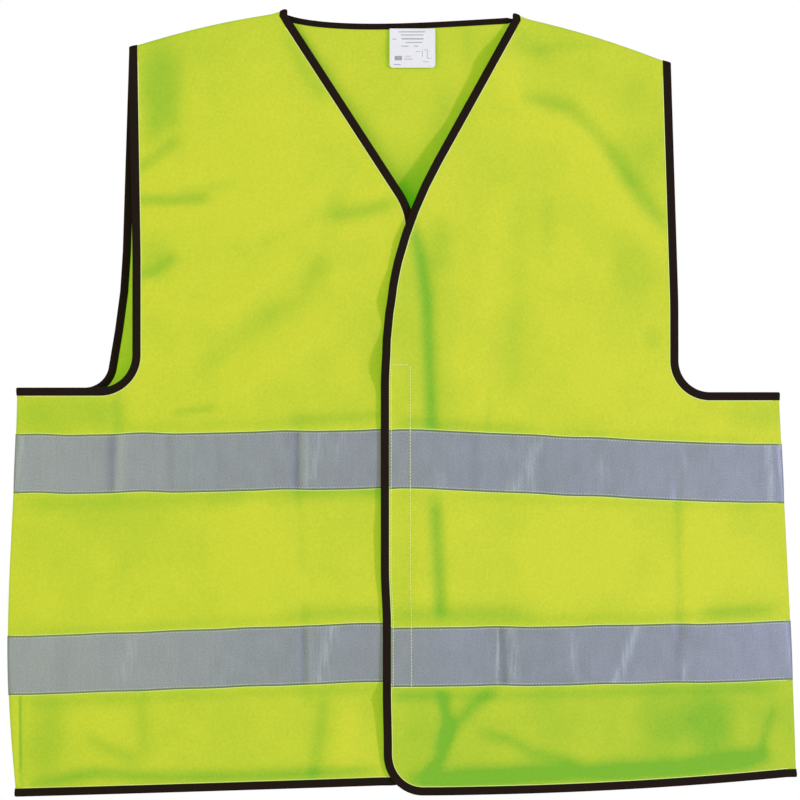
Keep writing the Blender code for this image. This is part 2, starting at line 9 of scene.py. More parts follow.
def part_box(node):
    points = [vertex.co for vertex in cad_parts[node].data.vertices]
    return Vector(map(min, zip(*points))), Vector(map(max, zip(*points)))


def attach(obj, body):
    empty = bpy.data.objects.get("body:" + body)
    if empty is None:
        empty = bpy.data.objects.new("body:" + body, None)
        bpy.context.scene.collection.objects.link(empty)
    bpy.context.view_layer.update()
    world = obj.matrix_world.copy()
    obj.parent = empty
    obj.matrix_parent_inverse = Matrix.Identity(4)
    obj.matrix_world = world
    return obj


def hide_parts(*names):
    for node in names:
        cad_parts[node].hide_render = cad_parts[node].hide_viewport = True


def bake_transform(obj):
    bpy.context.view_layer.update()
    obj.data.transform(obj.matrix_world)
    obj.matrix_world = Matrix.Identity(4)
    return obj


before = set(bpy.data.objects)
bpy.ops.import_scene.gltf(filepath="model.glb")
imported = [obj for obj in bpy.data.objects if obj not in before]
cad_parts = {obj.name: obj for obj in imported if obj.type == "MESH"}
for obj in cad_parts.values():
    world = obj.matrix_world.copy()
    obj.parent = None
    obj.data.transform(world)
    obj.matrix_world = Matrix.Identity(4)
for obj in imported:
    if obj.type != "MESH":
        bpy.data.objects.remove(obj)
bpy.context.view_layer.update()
bpy.ops.object.select_all(action="DESELECT")

# Metres, z up, x towards the wearer's left, front at -y. On a side's own pattern u runs outwards
# from the middle and z upwards; out is how far a layer lies off the middle of the cloth.
cut = {
    "length": 0.656,
    "neckHalf": 0.097,
    "neckline": 0.186,
    "neckDip": 0.0075,
    "dipSkew": 0.62,
    "shoulderHalf": 0.229,
    "shoulderDrop": 0.035,
    "shoulderBow": 0.003,
    "chestFront": 0.231,
    "chestBack": 0.2345,
    "chestLevel": 0.205,
    "chestRadius": 0.5,
    "armholeDepth": 0.3195,
    "underarmHalf": 0.321,
    "hemHalf": 0.329,
    "bowSkew": 1.5,
    "overlap": 0.0258,
    "overlapShift": -0.0021,
    "backHemRise": 0.008,
    "hemRun": 1.5,
    "upperTape": 0.355,
    "lowerTape": 0.519,
    "tapeWidth": 0.050,
}
hang = {
    "roll": 0.0022,  # half the gap between front and back at a seam
    "fullness": 0.046,
    "fullnessPower": 2.5,
    "lapLift": 0.0042,  # left front over the right, where the closure presses them together
    "lapFlat": 0.014,
    "fold": 0.090,  # where an opened front folds back
    "foldHalf": 0.0072,  # half the width of cloth that bends there
    "neckPeak": 0.0017,  # how far the braid stands up where it crosses the shoulder
    "tapeWaver": 0.0008,
}
layer = {
    "clothHalf": 0.00025,
    "tape": 0.00035,
    "tapeOut": 0.00050,  # middle of the tape's thickness
    "onCloth": 0.00030,
    "onTape": 0.00072,
}
settle = {
    "right": {
        "sign": -1,
        "neck": 0.0,
        "shoulder": 0.005,
        "neckline": 0.0198,
        "necklineRadius": 0.060,
        "underarm": 0.0014,
        # chest further out, slant below it, chest lower and radius of the corner
        "frontArmhole": (-0.005, 0.0, 0.0, 0.029),
        "backArmhole": (0.0010, 0.0139, 0.030, 0.022),
        "underarmOut": 0.002,
        "hemOut": -0.0045,
        "sideBow": 0.007,
        "cornerRadius": 0.018,
        "upperTape": (0.004, -0.002, 0.6),
        "lowerTape": (0.0037, -0.0091, 1.0),
        "hem": (0.004, -0.0074, 1.0),
        "edgeLift": [(-0.2, 0.0), (-0.6, 0.0)],
        "edgeWaver": [(-0.2, 0.0), (-0.6, 0.0)],
    },
    "left": {
        "sign": 1,
        "neck": -0.0034,
        "shoulder": -0.0085,
        "neckline": -0.0195,
        "necklineRadius": 0.360,
        "underarm": -0.0025,
        "frontArmhole": (0.0042, 0.0, 0.040, 0.028),
        "backArmhole": (-0.0030, 0.0, 0.0, 0.028),
        "underarmOut": -0.0015,
        "hemOut": 0.0055,
        "sideBow": 0.001,
        "cornerRadius": 0.034,
        "upperTape": (0.0025, -0.0107, 1.0),
        "lowerTape": (-0.001, 0.004, 2.0),
        "hem": (-0.005, 0.0094, 2.0),
        # height, and how far the edge there stands off the right front
        "edgeLift": [
            (-0.150, 0.0042), (-0.166, 0.0050), (-0.185, 0.0096), (-0.211, 0.0052), (-0.239, 0.0096),
            (-0.265, 0.0026), (-0.2945, 0.0098), (-0.321, 0.0034), (-0.334, 0.0032), (-0.353, 0.0033),
            (-0.400, 0.0033), (-0.412, 0.0042), (-0.438, 0.0060), (-0.463, 0.0060), (-0.497, 0.0042),
            (-0.516, 0.0033), (-0.566, 0.0033), (-0.576, 0.0088), (-0.585, 0.0070), (-0.608, 0.0058),
            (-0.625, 0.0048), (-0.642, 0.0040),
        ],
        # height, and how far the edge drifts outwards of its cut line
        "edgeWaver": [(-0.215, 0.0), (-0.245, 0.0009), (-0.288, 0.0008), (-0.315, 0.0), (-0.47, 0.0),
                      (-0.52, 0.0017), (-0.574, 0.0017), (-0.625, 0.0025), (-0.655, 0.0018)],
    },
}
quarterRoll = hang["roll"] * math.pi / 2 - 0.0001


def lerp(low, high, share):
    return low + (high - low) * share


def ease(share):
    share = np.clip(share, 0, 1)
    return share * share * (3 - 2 * share)


def easeBetween(value, points):
    # runs smoothly through (place, height) points
    places = np.array([p[0] for p in points])
    heights = np.array([p[1] for p in points])
    order = np.argsort(places)
    places, heights = places[order], heights[order]
    at = np.clip(np.searchsorted(places, value) - 1, 0, len(places) - 2)
    share = (value - places[at]) / (places[at + 1] - places[at])
    return lerp(heights[at], heights[at + 1], ease(share))


def toSegment(x, z, start, end):
    # the share along the segment nearest to each point, and how far that is
    (ax, az), (bx, bz) = start, end
    length = max(math.dist(start, end), 1e-9)
    t = np.clip(((x - ax) * (bx - ax) + (z - az) * (bz - az)) / length**2, 0, 1)
    return t, np.hypot(x - lerp(ax, bx, t), z - lerp(az, bz, t))


# The lines of the cut


def shoulderZ(side, u):
    own = settle[side]
    share = np.clip((np.abs(u) - cut["neckHalf"]) / (cut["shoulderHalf"] - cut["neckHalf"]), 0, 1)
    end = -cut["shoulderDrop"] + own["shoulder"]
    return lerp(own["neck"], end, share) + cut["shoulderBow"] * np.sin(np.pi * share)


def halfWidth(side, z):
    own = settle[side]
    share = np.clip((-z - cut["armholeDepth"]) / (cut["length"] - cut["armholeDepth"]), 0, 1)
    straight = lerp(cut["underarmHalf"] + own["underarmOut"], cut["hemHalf"] + own["hemOut"], share)
    return straight + own["sideBow"] * np.sin(np.pi * share ** cut["bowSkew"])


def lineZ(side, line, u):
    drop = cut["length"] if line == "hem" else cut[line]
    middle, outer, power = settle[side][line]
    settled = -drop + lerp(middle, outer, np.clip(np.abs(u) / cut["hemHalf"], 0, 1) ** power)
    if line == "hem":
        return settled
    return settled + hang["tapeWaver"] * wander(u * settle[side]["sign"], -drop, 0.030, 61)


def backLineZ(line, x, rise=0.0):
    share = np.clip((x / cut["hemHalf"] + 1) / 2, 0, 1)
    ends = lerp(lineZ("right", line, cut["hemHalf"]), lineZ("left", line, cut["hemHalf"]), share)
    return ends + rise * (1 - (2 * share - 1) ** 2)


def backNeckZ(x):
    share = np.clip((x / cut["neckHalf"] + 1) / 2, 0, 1)
    ends = lerp(settle["right"]["neck"], settle["left"]["neck"], share)
    return ends - cut["neckDip"] * np.sin(np.pi * share ** cut["dipSkew"])


def frontEdgeU(side):
    return settle[side]["sign"] * cut["overlapShift"] - cut["overlap"] / 2


def underarmZ(side):
    return -cut["armholeDepth"] + settle[side]["underarm"]


def rounded(points, radii, arcStep=math.radians(4)):
    path = [Vector(points[0])]
    for before, corner, after, radius in zip(points, points[1:], points[2:], radii):
        corner = Vector(corner)
        back = (Vector(before) - corner).normalized()
        ahead = (Vector(after) - corner).normalized()
        bend = math.pi - back.angle(ahead)
        middle = corner + (back + ahead).normalized() * radius / math.cos(bend / 2)
        start = corner + back * radius * math.tan(bend / 2) - middle
        turn = bend if back.cross(ahead) < 0 else -bend
        steps = max(2, math.ceil(bend / arcStep))
        for step in range(steps + 1):
            c, s = math.cos(turn * step / steps), math.sin(turn * step / steps)
            path.append(middle + Vector((c * start.x - s * start.y, s * start.x + c * start.y)))
    path.append(Vector(points[-1]))
    return path


def spaced(path, gap):
    points = [Vector(path[0])]
    for a, b in zip(path, path[1:]):
        steps = max(1, math.ceil((b - a).length / gap))
        points += [a.lerp(b, step / steps) for step in range(1, steps + 1)]
    return points


def joined(edges):
    outline = []
    for edge in edges:
        for point in edge:
            if not outline or (point - outline[-1]).length > 1e-5:
                outline.append(point)
    if (outline[0] - outline[-1]).length < 1e-5:
        outline.pop()
    return outline


def along(low, high, gap):
    steps = max(1, math.ceil(abs(high - low) / gap))
    return [lerp(low, high, step / steps) for step in range(steps + 1)]


def neckPath(side):
    # neck point, down the V and the front edge, round the corner and onto the hem
    own = settle[side]
    edge = frontEdgeU(side)
    hemStart = edge + own["cornerRadius"] * cut["hemRun"]
    points = [
        (cut["neckHalf"], shoulderZ(side, cut["neckHalf"])),
        (edge, -cut["neckline"] + own["neckline"]),
        (edge, lineZ(side, "hem", edge)),
        (hemStart, lineZ(side, "hem", hemStart)),
    ]
    return rounded(points, [own["necklineRadius"], own["cornerRadius"]])


def hemPath(side, gap=0.004):
    start = neckPath(side)[-1].x
    end = halfWidth(side, lineZ(side, "hem", cut["hemHalf"]))
    return [Vector((u, lineZ(side, "hem", u))) for u in along(start, end, gap)]


def armholePath(side, panel):
    # from the side seam under the arm and up to the shoulder
    out, slant, lower, radius = settle[side][panel + "Armhole"]
    level = underarmZ(side)
    chest = out + cut["chestFront" if panel == "front" else "chestBack"]
    points = [
        (halfWidth(side, level), level),
        (chest + slant, level),
        (chest, -cut["chestLevel"] - lower),
        (cut["shoulderHalf"], shoulderZ(side, cut["shoulderHalf"])),
    ]
    return rounded(points, [radius, cut["chestRadius"]])


# Folds and creases: (points of its line, half width, rise, shade). A fold that rises less than 0 is a
# valley. Shade is painted into the colour: 1 is the deepest painted shade, green, in a valley, and below 0
# is a painted highlight, paler than the cloth.
frontFolds = {
    "left": [
        ([(0.010, -0.178), (0.0175, -0.208), (0.0225, -0.242), (0.0250, -0.310), (0.0270, -0.350)],
         0.0060, -0.0016, 0.68),
        ([(0.0300, -0.414), (0.0315, -0.451), (0.0345, -0.508)], 0.0060, -0.0016, 0.68),
        ([(0.0370, -0.580), (0.040, -0.604), (0.035, -0.629), (0.024, -0.645)], 0.0060, -0.0016, 0.68),
        ([(0.0230, -0.215), (0.0255, -0.280), (0.028, -0.361)], 0.015, -0.0007, 0.14),
        ([(0.036, -0.184), (0.030, -0.215)], 0.011, -0.0008, 0.26),
        ([(0.110, -0.070), (0.145, -0.079), (0.172, -0.106), (0.194, -0.139), (0.224, -0.179)],
         0.0070, -0.0015, 0.42),
        ([(0.115, -0.088), (0.140, -0.102), (0.165, -0.130), (0.190, -0.165), (0.212, -0.192)],
         0.014, 0.0014, -0.18),
        ([(0.2350, -0.395), (0.2362, -0.465), (0.2372, -0.530)], 0.0034, -0.0009, 0.26),
        ([(0.2470, -0.420), (0.2480, -0.465), (0.2490, -0.520)], 0.0070, 0.0008, -0.10),
        ([(0.012, -0.6485), (0.045, -0.6480), (0.085, -0.6455), (0.136, -0.6435), (0.187, -0.6420),
          (0.238, -0.6395), (0.276, -0.6350), (0.308, -0.6300)], 0.0088, -0.0014, 0.86),
        ([(0.078, -0.573), (0.060, -0.588), (0.045, -0.604), (0.038, -0.616)], 0.0062, -0.0011, 0.50),
        ([(0.072, -0.610), (0.094, -0.6155), (0.112, -0.627), (0.150, -0.634)], 0.0055, -0.0009, 0.34),
        ([(0.260, -0.582), (0.268, -0.622)], 0.013, -0.0014, 0.10),
        ([(0.317, -0.590), (0.311, -0.608), (0.306, -0.628)], 0.0036, -0.0010, 0.30),
        ([(0.290, -0.600), (0.293, -0.620)], 0.0070, 0.0009, -0.10),
        ([(0.1000, -0.0200), (0.108, -0.027), (0.120, -0.032)], 0.0090, -0.0007, 0.26),
        ([(0.120, -0.031), (0.140, -0.025), (0.165, -0.026)], 0.0050, -0.0006, 0.16),
        ([(0.088, -0.046), (0.096, -0.070)], 0.010, 0.0009, -0.14),
        ([(0.102, -0.165), (0.100, -0.230), (0.096, -0.320)], 0.0080, -0.0006, 0.12),
        ([(0.080, -0.160), (0.074, -0.230), (0.068, -0.300), (0.066, -0.345)], 0.011, 0.0009, -0.10),
        ([(0.125, -0.150), (0.124, -0.210)], 0.0060, -0.0005, 0.12),
        ([(0.0560, -0.230), (0.0500, -0.300), (0.0540, -0.340)], 0.0045, 0.0004, -0.06),
        ([(0.0748, -0.318), (0.0752, -0.338), (0.0735, -0.352)], 0.0022, -0.0005, 0.16),
        ([(0.000, -0.3465), (0.060, -0.350), (0.110, -0.353)], 0.0060, -0.0006, 0.32),
        ([(0.110, -0.353), (0.180, -0.357), (0.300, -0.362)], 0.0035, -0.0003, 0.14),
        ([(0.000, -0.4070), (0.070, -0.410), (0.200, -0.416), (0.318, -0.419)], 0.0040, -0.0003, 0.14),
        ([(-0.004, -0.5095), (0.050, -0.509), (0.105, -0.5095)], 0.0085, -0.0007, 0.36),
        ([(0.110, -0.5130), (0.200, -0.512), (0.310, -0.506)], 0.0050, -0.0003, 0.20),
        ([(0.262, -0.509), (0.318, -0.504)], 0.0060, -0.0004, 0.24),
        ([(-0.006, -0.5780), (0.020, -0.578), (0.038, -0.577)], 0.0060, -0.0006, 0.46),
        ([(0.038, -0.5780), (0.100, -0.578), (0.318, -0.571)], 0.0050, -0.0005, 0.26),
        ([(0.150, -0.250), (0.165, -0.310)], 0.022, 0.0010, -0.04),
        ([(0.205, -0.430), (0.200, -0.490)], 0.018, -0.0008, 0.03),
        ([(0.0885, -0.022), (0.078, -0.042)], 0.014, 0.0060, 0.0),
        ([(0.056, -0.080), (0.044, -0.100)], 0.012, -0.0028, 0.0),
        ([(0.022, -0.132), (0.013, -0.150)], 0.012, 0.0022, 0.0),
    ],
    "right": [
        ([(-0.2400, -0.322), (-0.2400, -0.355), (-0.2430, -0.405)], 0.0050, -0.0013, 0.24),
        ([(-0.224, -0.1565), (-0.200, -0.1585), (-0.165, -0.1560)], 0.0052, -0.0015, 0.50),
        ([(-0.224, -0.172), (-0.190, -0.171), (-0.135, -0.1660)], 0.0080, 0.0011, -0.16),
        ([(-0.222, -0.222), (-0.208, -0.217), (-0.192, -0.206)], 0.0052, -0.0013, 0.40),
        ([(-0.222, -0.238), (-0.200, -0.236), (-0.170, -0.226)], 0.0080, 0.0010, -0.10),
        ([(-0.203, -0.040), (-0.200, -0.094)], 0.016, -0.0015, 0.10),
        ([(-0.222, -0.130), (-0.207, -0.120), (-0.190, -0.106)], 0.0050, -0.0012, 0.34),
        ([(-0.224, -0.146), (-0.205, -0.138), (-0.175, -0.130)], 0.0070, 0.0009, -0.10),
        ([(-0.060, -0.171), (-0.0300, -0.1665), (-0.0080, -0.160)], 0.0070, -0.0016, 0.44),
        ([(-0.050, -0.186), (-0.018, -0.184)], 0.0080, 0.0010, -0.10),
        ([(-0.168, -0.3015), (-0.1275, -0.266), (-0.085, -0.240), (-0.069, -0.212)], 0.0085, -0.0013, 0.19),
        ([(-0.2125, -0.249), (-0.158, -0.254), (-0.118, -0.226), (-0.0935, -0.2105)], 0.0080, 0.0013, -0.15),
        ([(-0.150, -0.330), (-0.110, -0.296), (-0.070, -0.270)], 0.0110, 0.0012, -0.12),
        ([(-0.200, -0.140), (-0.150, -0.134)], 0.0070, 0.0006, -0.08),
        ([(-0.185, -0.148), (-0.140, -0.143)], 0.0045, -0.0005, 0.14),
        ([(-0.170, -0.190), (-0.120, -0.180), (-0.070, -0.150), (-0.048, -0.128)], 0.0070, 0.0008, -0.09),
        ([(-0.120, -0.196), (-0.080, -0.178), (-0.050, -0.156)], 0.0065, -0.0007, 0.12),
        ([(-0.192, -0.3385), (-0.175, -0.336), (-0.157, -0.3335)], 0.0032, -0.0008, 0.32),
        ([(-0.0960, -0.3450), (-0.060, -0.3435), (-0.016, -0.341)], 0.0060, -0.0007, 0.34),
        ([(-0.240, -0.3500), (-0.170, -0.3495), (-0.100, -0.347)], 0.0045, -0.0003, 0.14),
        ([(-0.012, -0.4035), (-0.050, -0.404), (-0.093, -0.405)], 0.0075, -0.0008, 0.50),
        ([(-0.093, -0.406), (-0.200, -0.412), (-0.315, -0.416)], 0.0085, -0.0005, 0.30),
        ([(-0.0867, -0.340), (-0.0867, -0.412), (-0.0845, -0.470)], 0.0050, -0.0012, 0.10),
        ([(-0.0810, -0.500), (-0.0805, -0.585)], 0.0042, -0.0012, 0.12),
        ([(-0.016, -0.5075), (-0.050, -0.508), (-0.088, -0.510)], 0.0070, -0.0005, 0.34),
        ([(-0.088, -0.512), (-0.180, -0.518), (-0.310, -0.526)], 0.0050, -0.0004, 0.18),
        ([(-0.310, -0.585), (-0.200, -0.579), (-0.020, -0.572)], 0.0045, -0.0004, 0.20),
        ([(-0.0650, -0.580), (-0.068, -0.612), (-0.074, -0.646)], 0.0062, -0.0011, 0.32),
        ([(-0.045, -0.590), (-0.050, -0.640)], 0.010, 0.0010, -0.14),
        ([(-0.2200, -0.580), (-0.218, -0.630)], 0.0060, -0.0009, 0.18),
        ([(-0.310, -0.6535), (-0.258, -0.6440), (-0.225, -0.6465), (-0.170, -0.6470), (-0.100, -0.6450),
          (-0.022, -0.6410)], 0.0058, -0.0010, 0.58),
        ([(-0.265, -0.6120), (-0.248, -0.624), (-0.225, -0.633)], 0.0062, -0.0010, 0.28),
        ([(-0.3010, -0.585), (-0.304, -0.640)], 0.010, -0.0008, 0.10),
        ([(-0.3228, -0.578), (-0.3222, -0.654)], 0.0011, -0.0010, 0.75),
        ([(-0.3262, -0.578), (-0.3255, -0.654)], 0.0026, 0.0007, -0.20),
        ([(-0.150, -0.430), (-0.130, -0.500)], 0.022, 0.0012, -0.03),
        ([(-0.232, -0.455), (-0.236, -0.475)], 0.0080, -0.0006, 0.12),
        ([(-0.0960, -0.0210), (-0.082, -0.045), (-0.066, -0.070)], 0.0070, -0.0007, 0.28),
        ([(-0.0200, -0.240), (-0.0200, -0.330)], 0.012, 0.0004, 0.08),
    ],
}
backFolds = [
    ([(-0.150, -0.120), (-0.130, -0.300), (-0.135, -0.560)], 0.018, 0.0022, -0.08),
    ([(-0.060, -0.200), (-0.070, -0.280), (-0.060, -0.470)], 0.014, -0.0018, 0.26),
    ([(0.045, -0.200), (0.060, -0.300), (0.048, -0.640)], 0.017, 0.0024, -0.08),
    ([(0.105, -0.240), (0.098, -0.420), (0.112, -0.640)], 0.011, -0.0016, 0.30),
    ([(0.195, -0.090), (0.170, -0.200), (0.175, -0.360)], 0.015, 0.0020, -0.06),
    ([(0.250, -0.380), (0.243, -0.640)], 0.011, -0.0016, 0.26),
    ([(-0.235, -0.350), (-0.220, -0.640)], 0.013, -0.0017, 0.24),
    ([(-0.020, -0.420), (-0.012, -0.640)], 0.012, -0.0014, 0.20),
    ([(-0.290, -0.620), (-0.100, -0.632), (0.120, -0.630), (0.300, -0.626)], 0.006, -0.0008, 0.32),
    ([(-0.0840, -0.018), (-0.0700, -0.045), (-0.0600, -0.066)], 0.0028, -0.0004, 0.42),
    ([(0.0400, -0.060), (0.0330, -0.100), (0.0150, -0.140)], 0.012, -0.0008, 0.16),
    ([(0.0560, -0.012), (0.0580, -0.040)], 0.0040, -0.0004, 0.14),
    ([(-0.0100, -0.018), (-0.0130, -0.036)], 0.0025, -0.0004, 0.20),
]
# Broad patches of painted shade, and of painted highlight where shade is below 0: (middle, half size across,
# half size up, shade)
frontPatches = {
    "left": [
        ((0.206, -0.100), 0.024, 0.055, 0.17),
        ((0.136, -0.120), 0.044, 0.036, -0.12),
        ((0.197, -0.217), 0.018, 0.040, 0.18),
        ((0.214, -0.275), 0.008, 0.010, 0.20),
        ((0.304, -0.338), 0.026, 0.013, 0.24),
        ((0.001, -0.290), 0.012, 0.080, 0.16),
        ((0.003, -0.450), 0.010, 0.045, 0.08),
        ((0.150, -0.445), 0.046, 0.046, -0.16),
        ((0.262, -0.450), 0.014, 0.048, -0.10),
        ((0.075, -0.450), 0.028, 0.055, 0.05),
        ((0.262, -0.602), 0.022, 0.026, 0.30),
        ((0.220, -0.600), 0.022, 0.036, 0.16),
        ((0.100, -0.200), 0.030, 0.120, 0.04),
        ((0.268, -0.600), 0.060, 0.036, 0.12),
        ((0.020, -0.612), 0.018, 0.026, 0.10),
    ],
    "right": [
        ((-0.203, -0.064), 0.018, 0.037, 0.42),
        ((-0.213, -0.098), 0.010, 0.012, 0.22),
        ((-0.286, -0.339), 0.046, 0.018, 0.42),
        ((-0.207, -0.208), 0.014, 0.016, 0.18),
        ((-0.122, -0.460), 0.018, 0.050, -0.16),
        ((-0.235, -0.450), 0.070, 0.036, 0.07),
        ((-0.300, -0.610), 0.016, 0.035, 0.16),
        ((-0.256, -0.602), 0.026, 0.018, -0.12),
        ((-0.067, -0.214), 0.009, 0.009, 0.16),
        ((-0.120, -0.300), 0.045, 0.028, -0.06),
        ((-0.050, -0.450), 0.030, 0.050, 0.05),
    ],
}
backPatches = [
    ((0.012, -0.150), 0.028, 0.024, 0.26),
]
# The cloth's slow unevenness: (cell size, rise, shade, seed). Its shade is painted: greener in the dips,
# paler on the rises.
unevenness = [(0.085, 0.0011, 0.07, 3), (0.034, 0.00035, 0.07, 8), (0.012, 0.00008, 0.035, 21)]


def wander(x, z, cell, seed):
    # smooth noise from -1 to 1
    heights = np.random.default_rng(seed).uniform(-1, 1, (128, 128))
    across, up = x / cell + 64.3, z / cell + 96.7
    i, j = np.floor(across).astype(int), np.floor(up).astype(int)
    s, t = ease(across - i), ease(up - j)
    i, j = i % 127, j % 127
    low = lerp(heights[i, j], heights[i + 1, j], s)
    return lerp(low, lerp(heights[i, j + 1], heights[i + 1, j + 1], s), t)


def foldsAt(x, z, folds, seedShift):
    x, z = np.broadcast_arrays(np.asarray(x, float), np.asarray(z, float))
    rise, shade = np.zeros(x.shape), np.zeros(x.shape)
    for line, wide, high, green in folds:
        nearest = np.full(x.shape, 1e9)
        reached = np.zeros(x.shape)
        lengths = [math.dist(a, b) for a, b in zip(line, line[1:])]
        run = 0.0
        for start, end, length in zip(line, line[1:], lengths):
            t, away = toSegment(x, z, start, end)
            closer = away < nearest
            nearest = np.where(closer, away, nearest)
            reached = np.where(closer, run + t * length, reached)
            run += length
        fade = ease((reached / run + 0.12) / 0.22) * ease((1.12 - reached / run) / 0.22)
        strength = np.exp(-((nearest / wide) ** 2)) * fade
        rise += high * strength
        shade += green * strength
    for cell, high, green, seed in unevenness:
        height = wander(x, z, cell, seed + seedShift)
        rise += high * height
        shade -= green * height
    return rise, shade


# The painted shade on the cloth: its folds, patches and unevenness, and a painted gradient
def clothShade(x, z, folds, patches, seedShift, low=0.16):
    shade = foldsAt(x, z, folds, seedShift)[1]
    for (px, pz), halfX, halfZ, green in patches:
        bent = 0.16 * wander(x, z, 0.02, 51)
        away = ((x - px) / halfX) ** 2 + ((z - pz) / halfZ) ** 2
        shade = shade + green * np.exp(-((away * (1 + bent)) ** 2) * 0.8)
    # painted shade: darker towards the hem and at the shoulders
    low = low * ease((-z - 0.46) / 0.14)
    high = 0.10 * ease((0.10 + z) / 0.10)
    return shade + low + high + 0.08


# Where the layers lie


def neckPeak(u):
    return hang["neckPeak"] * np.exp(-(((u - cut["neckHalf"] - 0.002) / 0.006) ** 2))


def onFront(side, u, z, out):
    own = settle[side]
    u, z, out = np.broadcast_arrays(np.asarray(u, float), np.asarray(z, float), np.asarray(out, float))
    top, edge = shoulderZ(side, u), halfWidth(side, z)
    over, past = np.maximum(z - top, 0), np.maximum(u - edge, 0)
    below = np.maximum(top - z, 0)
    share = np.clip(np.abs(u) / edge, 0, 1)
    billow = hang["fullness"] * below / cut["length"] * (1 - share ** hang["fullnessPower"])
    rise = foldsAt(u * own["sign"], z, frontFolds[side], 0 if side == "left" else 40)[0]
    rise = rise * ease(below / 0.030) * ease((edge - u) / 0.022)
    lap = np.zeros(u.shape)
    edgeShare = ease((0.010 - u) / 0.022)
    if side == "left":
        lap = hang["lapLift"] * ease((hang["fold"] - u) / (hang["fold"] - hang["lapFlat"]))
        lap = lap + (easeBetween(z, own["edgeLift"]) - hang["lapLift"]) * edgeShare
        lap = lap * ease(below / 0.10)
    x = u + easeBetween(z, own["edgeWaver"]) * ease((0.03 - u) / 0.04)
    turn = over / hang["roll"]
    reach = hang["roll"] + out
    y = -(reach + billow + rise + lap)
    y = np.where(over > 0, -reach * np.cos(turn), y)
    z = np.where(over > 0, top + (reach + neckPeak(u)) * np.sin(turn), z)
    turn = past / hang["roll"]
    y = np.where(past > 0, -reach * np.cos(turn), y)
    x = np.where(past > 0, edge + reach * np.sin(turn), x)
    return np.stack([x * own["sign"], y, z], -1)


def onBack(x, z, out):
    x, z, out = np.broadcast_arrays(np.asarray(x, float), np.asarray(z, float), np.asarray(out, float))
    left = x >= 0
    u = np.abs(x)
    top = np.where(left, shoulderZ("left", u), shoulderZ("right", u))
    edge = np.where(left, halfWidth("left", z), halfWidth("right", z))
    over = np.where(u >= cut["neckHalf"] - 0.008, np.maximum(z - top, 0), 0)
    past = np.maximum(u - edge, 0)
    rise = foldsAt(x, z, backFolds, 80)[0]
    rise = rise * ease((top - z) / 0.030) * ease((edge - u) / 0.022)
    reach = hang["roll"] + out
    y = reach + np.maximum(rise, -0.0006)
    turn = over / hang["roll"]
    y = np.where(over > 0, reach * np.cos(turn), y)
    z = np.where(over > 0, top + (reach + neckPeak(u)) * np.sin(turn), z)
    turn = past / hang["roll"]
    y = np.where(past > 0, reach * np.cos(turn), y)
    u = np.where(past > 0, edge + reach * np.sin(turn), u)
    return np.stack([np.where(left, u, -u), y, z], -1)


def placer(side):
    if side == "back":
        return onBack
    return lambda u, z, out: onFront(side, u, z, out)


# Making meshes


def makePiece(name, points, faces, material, flat=None, values=None):
    mesh = bpy.data.meshes.new(name)
    mesh.from_pydata([tuple(p) for p in np.reshape(points, (-1, 3))], [], faces)
    if flat is not None:
        corners = np.zeros(len(mesh.loops), int)
        mesh.loops.foreach_get("vertex_index", corners)
        flatPoints = np.reshape(flat, (-1, 2))[corners]
        mesh.uv_layers.new(name="cut").data.foreach_set("uv", flatPoints.astype(np.float32).ravel())
    for key, value in (values or {}).items():
        attribute = mesh.attributes.new(key, "FLOAT", "POINT")
        attribute.data.foreach_set("value", np.asarray(value, np.float32).ravel())
    mesh.materials.append(material)
    piece = bpy.data.objects.new(name, mesh)
    bpy.context.scene.collection.objects.link(piece)
    return piece


def applyTo(piece, kind, **settings):
    bpy.ops.object.select_all(action="DESELECT")
    piece.select_set(True)
    bpy.context.view_layer.objects.active = piece
    modifier = piece.modifiers.new(kind.title(), kind)
    for key, value in settings.items():
        setattr(modifier, key, value)
    bpy.ops.object.modifier_apply(modifier=modifier.name)


def smoothShade(piece, degrees=40):
    bpy.ops.object.select_all(action="DESELECT")
    piece.select_set(True)
    bpy.context.view_layer.objects.active = piece
    bpy.ops.object.shade_smooth_by_angle(angle=math.radians(degrees))


def insideOf(outline, points):
    # whether each point lies inside the outline, and how far it is from its edge
    ring = np.array([tuple(p) for p in outline])
    inside = np.zeros(len(points), bool)
    nearest = np.full(len(points), 1e9)
    for (ax, az), (bx, bz) in zip(ring, np.roll(ring, -1, 0)):
        crosses = (az > points[:, 1]) != (bz > points[:, 1])
        rise = bz - az if bz != az else 1e-12
        inside ^= crosses & (points[:, 0] < (bx - ax) * (points[:, 1] - az) / rise + ax)
        nearest = np.minimum(nearest, toSegment(points[:, 0], points[:, 1], (ax, az), (bx, bz))[1])
    return inside, nearest


def pointsInside(outline, gap, extra=()):
    # staggered rows of points, clear of the outline and of the extra points
    ring = np.array([tuple(p) for p in outline])
    low, high = ring.min(0), ring.max(0)
    rows = np.arange(low[1] + gap / 2, high[1], gap * 0.87)
    grid = [(x, z) for k, z in enumerate(rows) for x in np.arange(low[0] + gap * (k % 2) / 2, high[0], gap)]
    grid = np.array(grid)
    inside, nearest = insideOf(outline, grid)
    grid = grid[inside & (nearest > gap * 0.45)]
    if len(extra):
        extra = np.array([tuple(p) for p in extra])
        clear = [np.hypot(*(extra - p).T).min() > gap * 0.45 for p in grid]
        grid = np.vstack([grid[clear], extra])
    return [tuple(p) for p in grid]


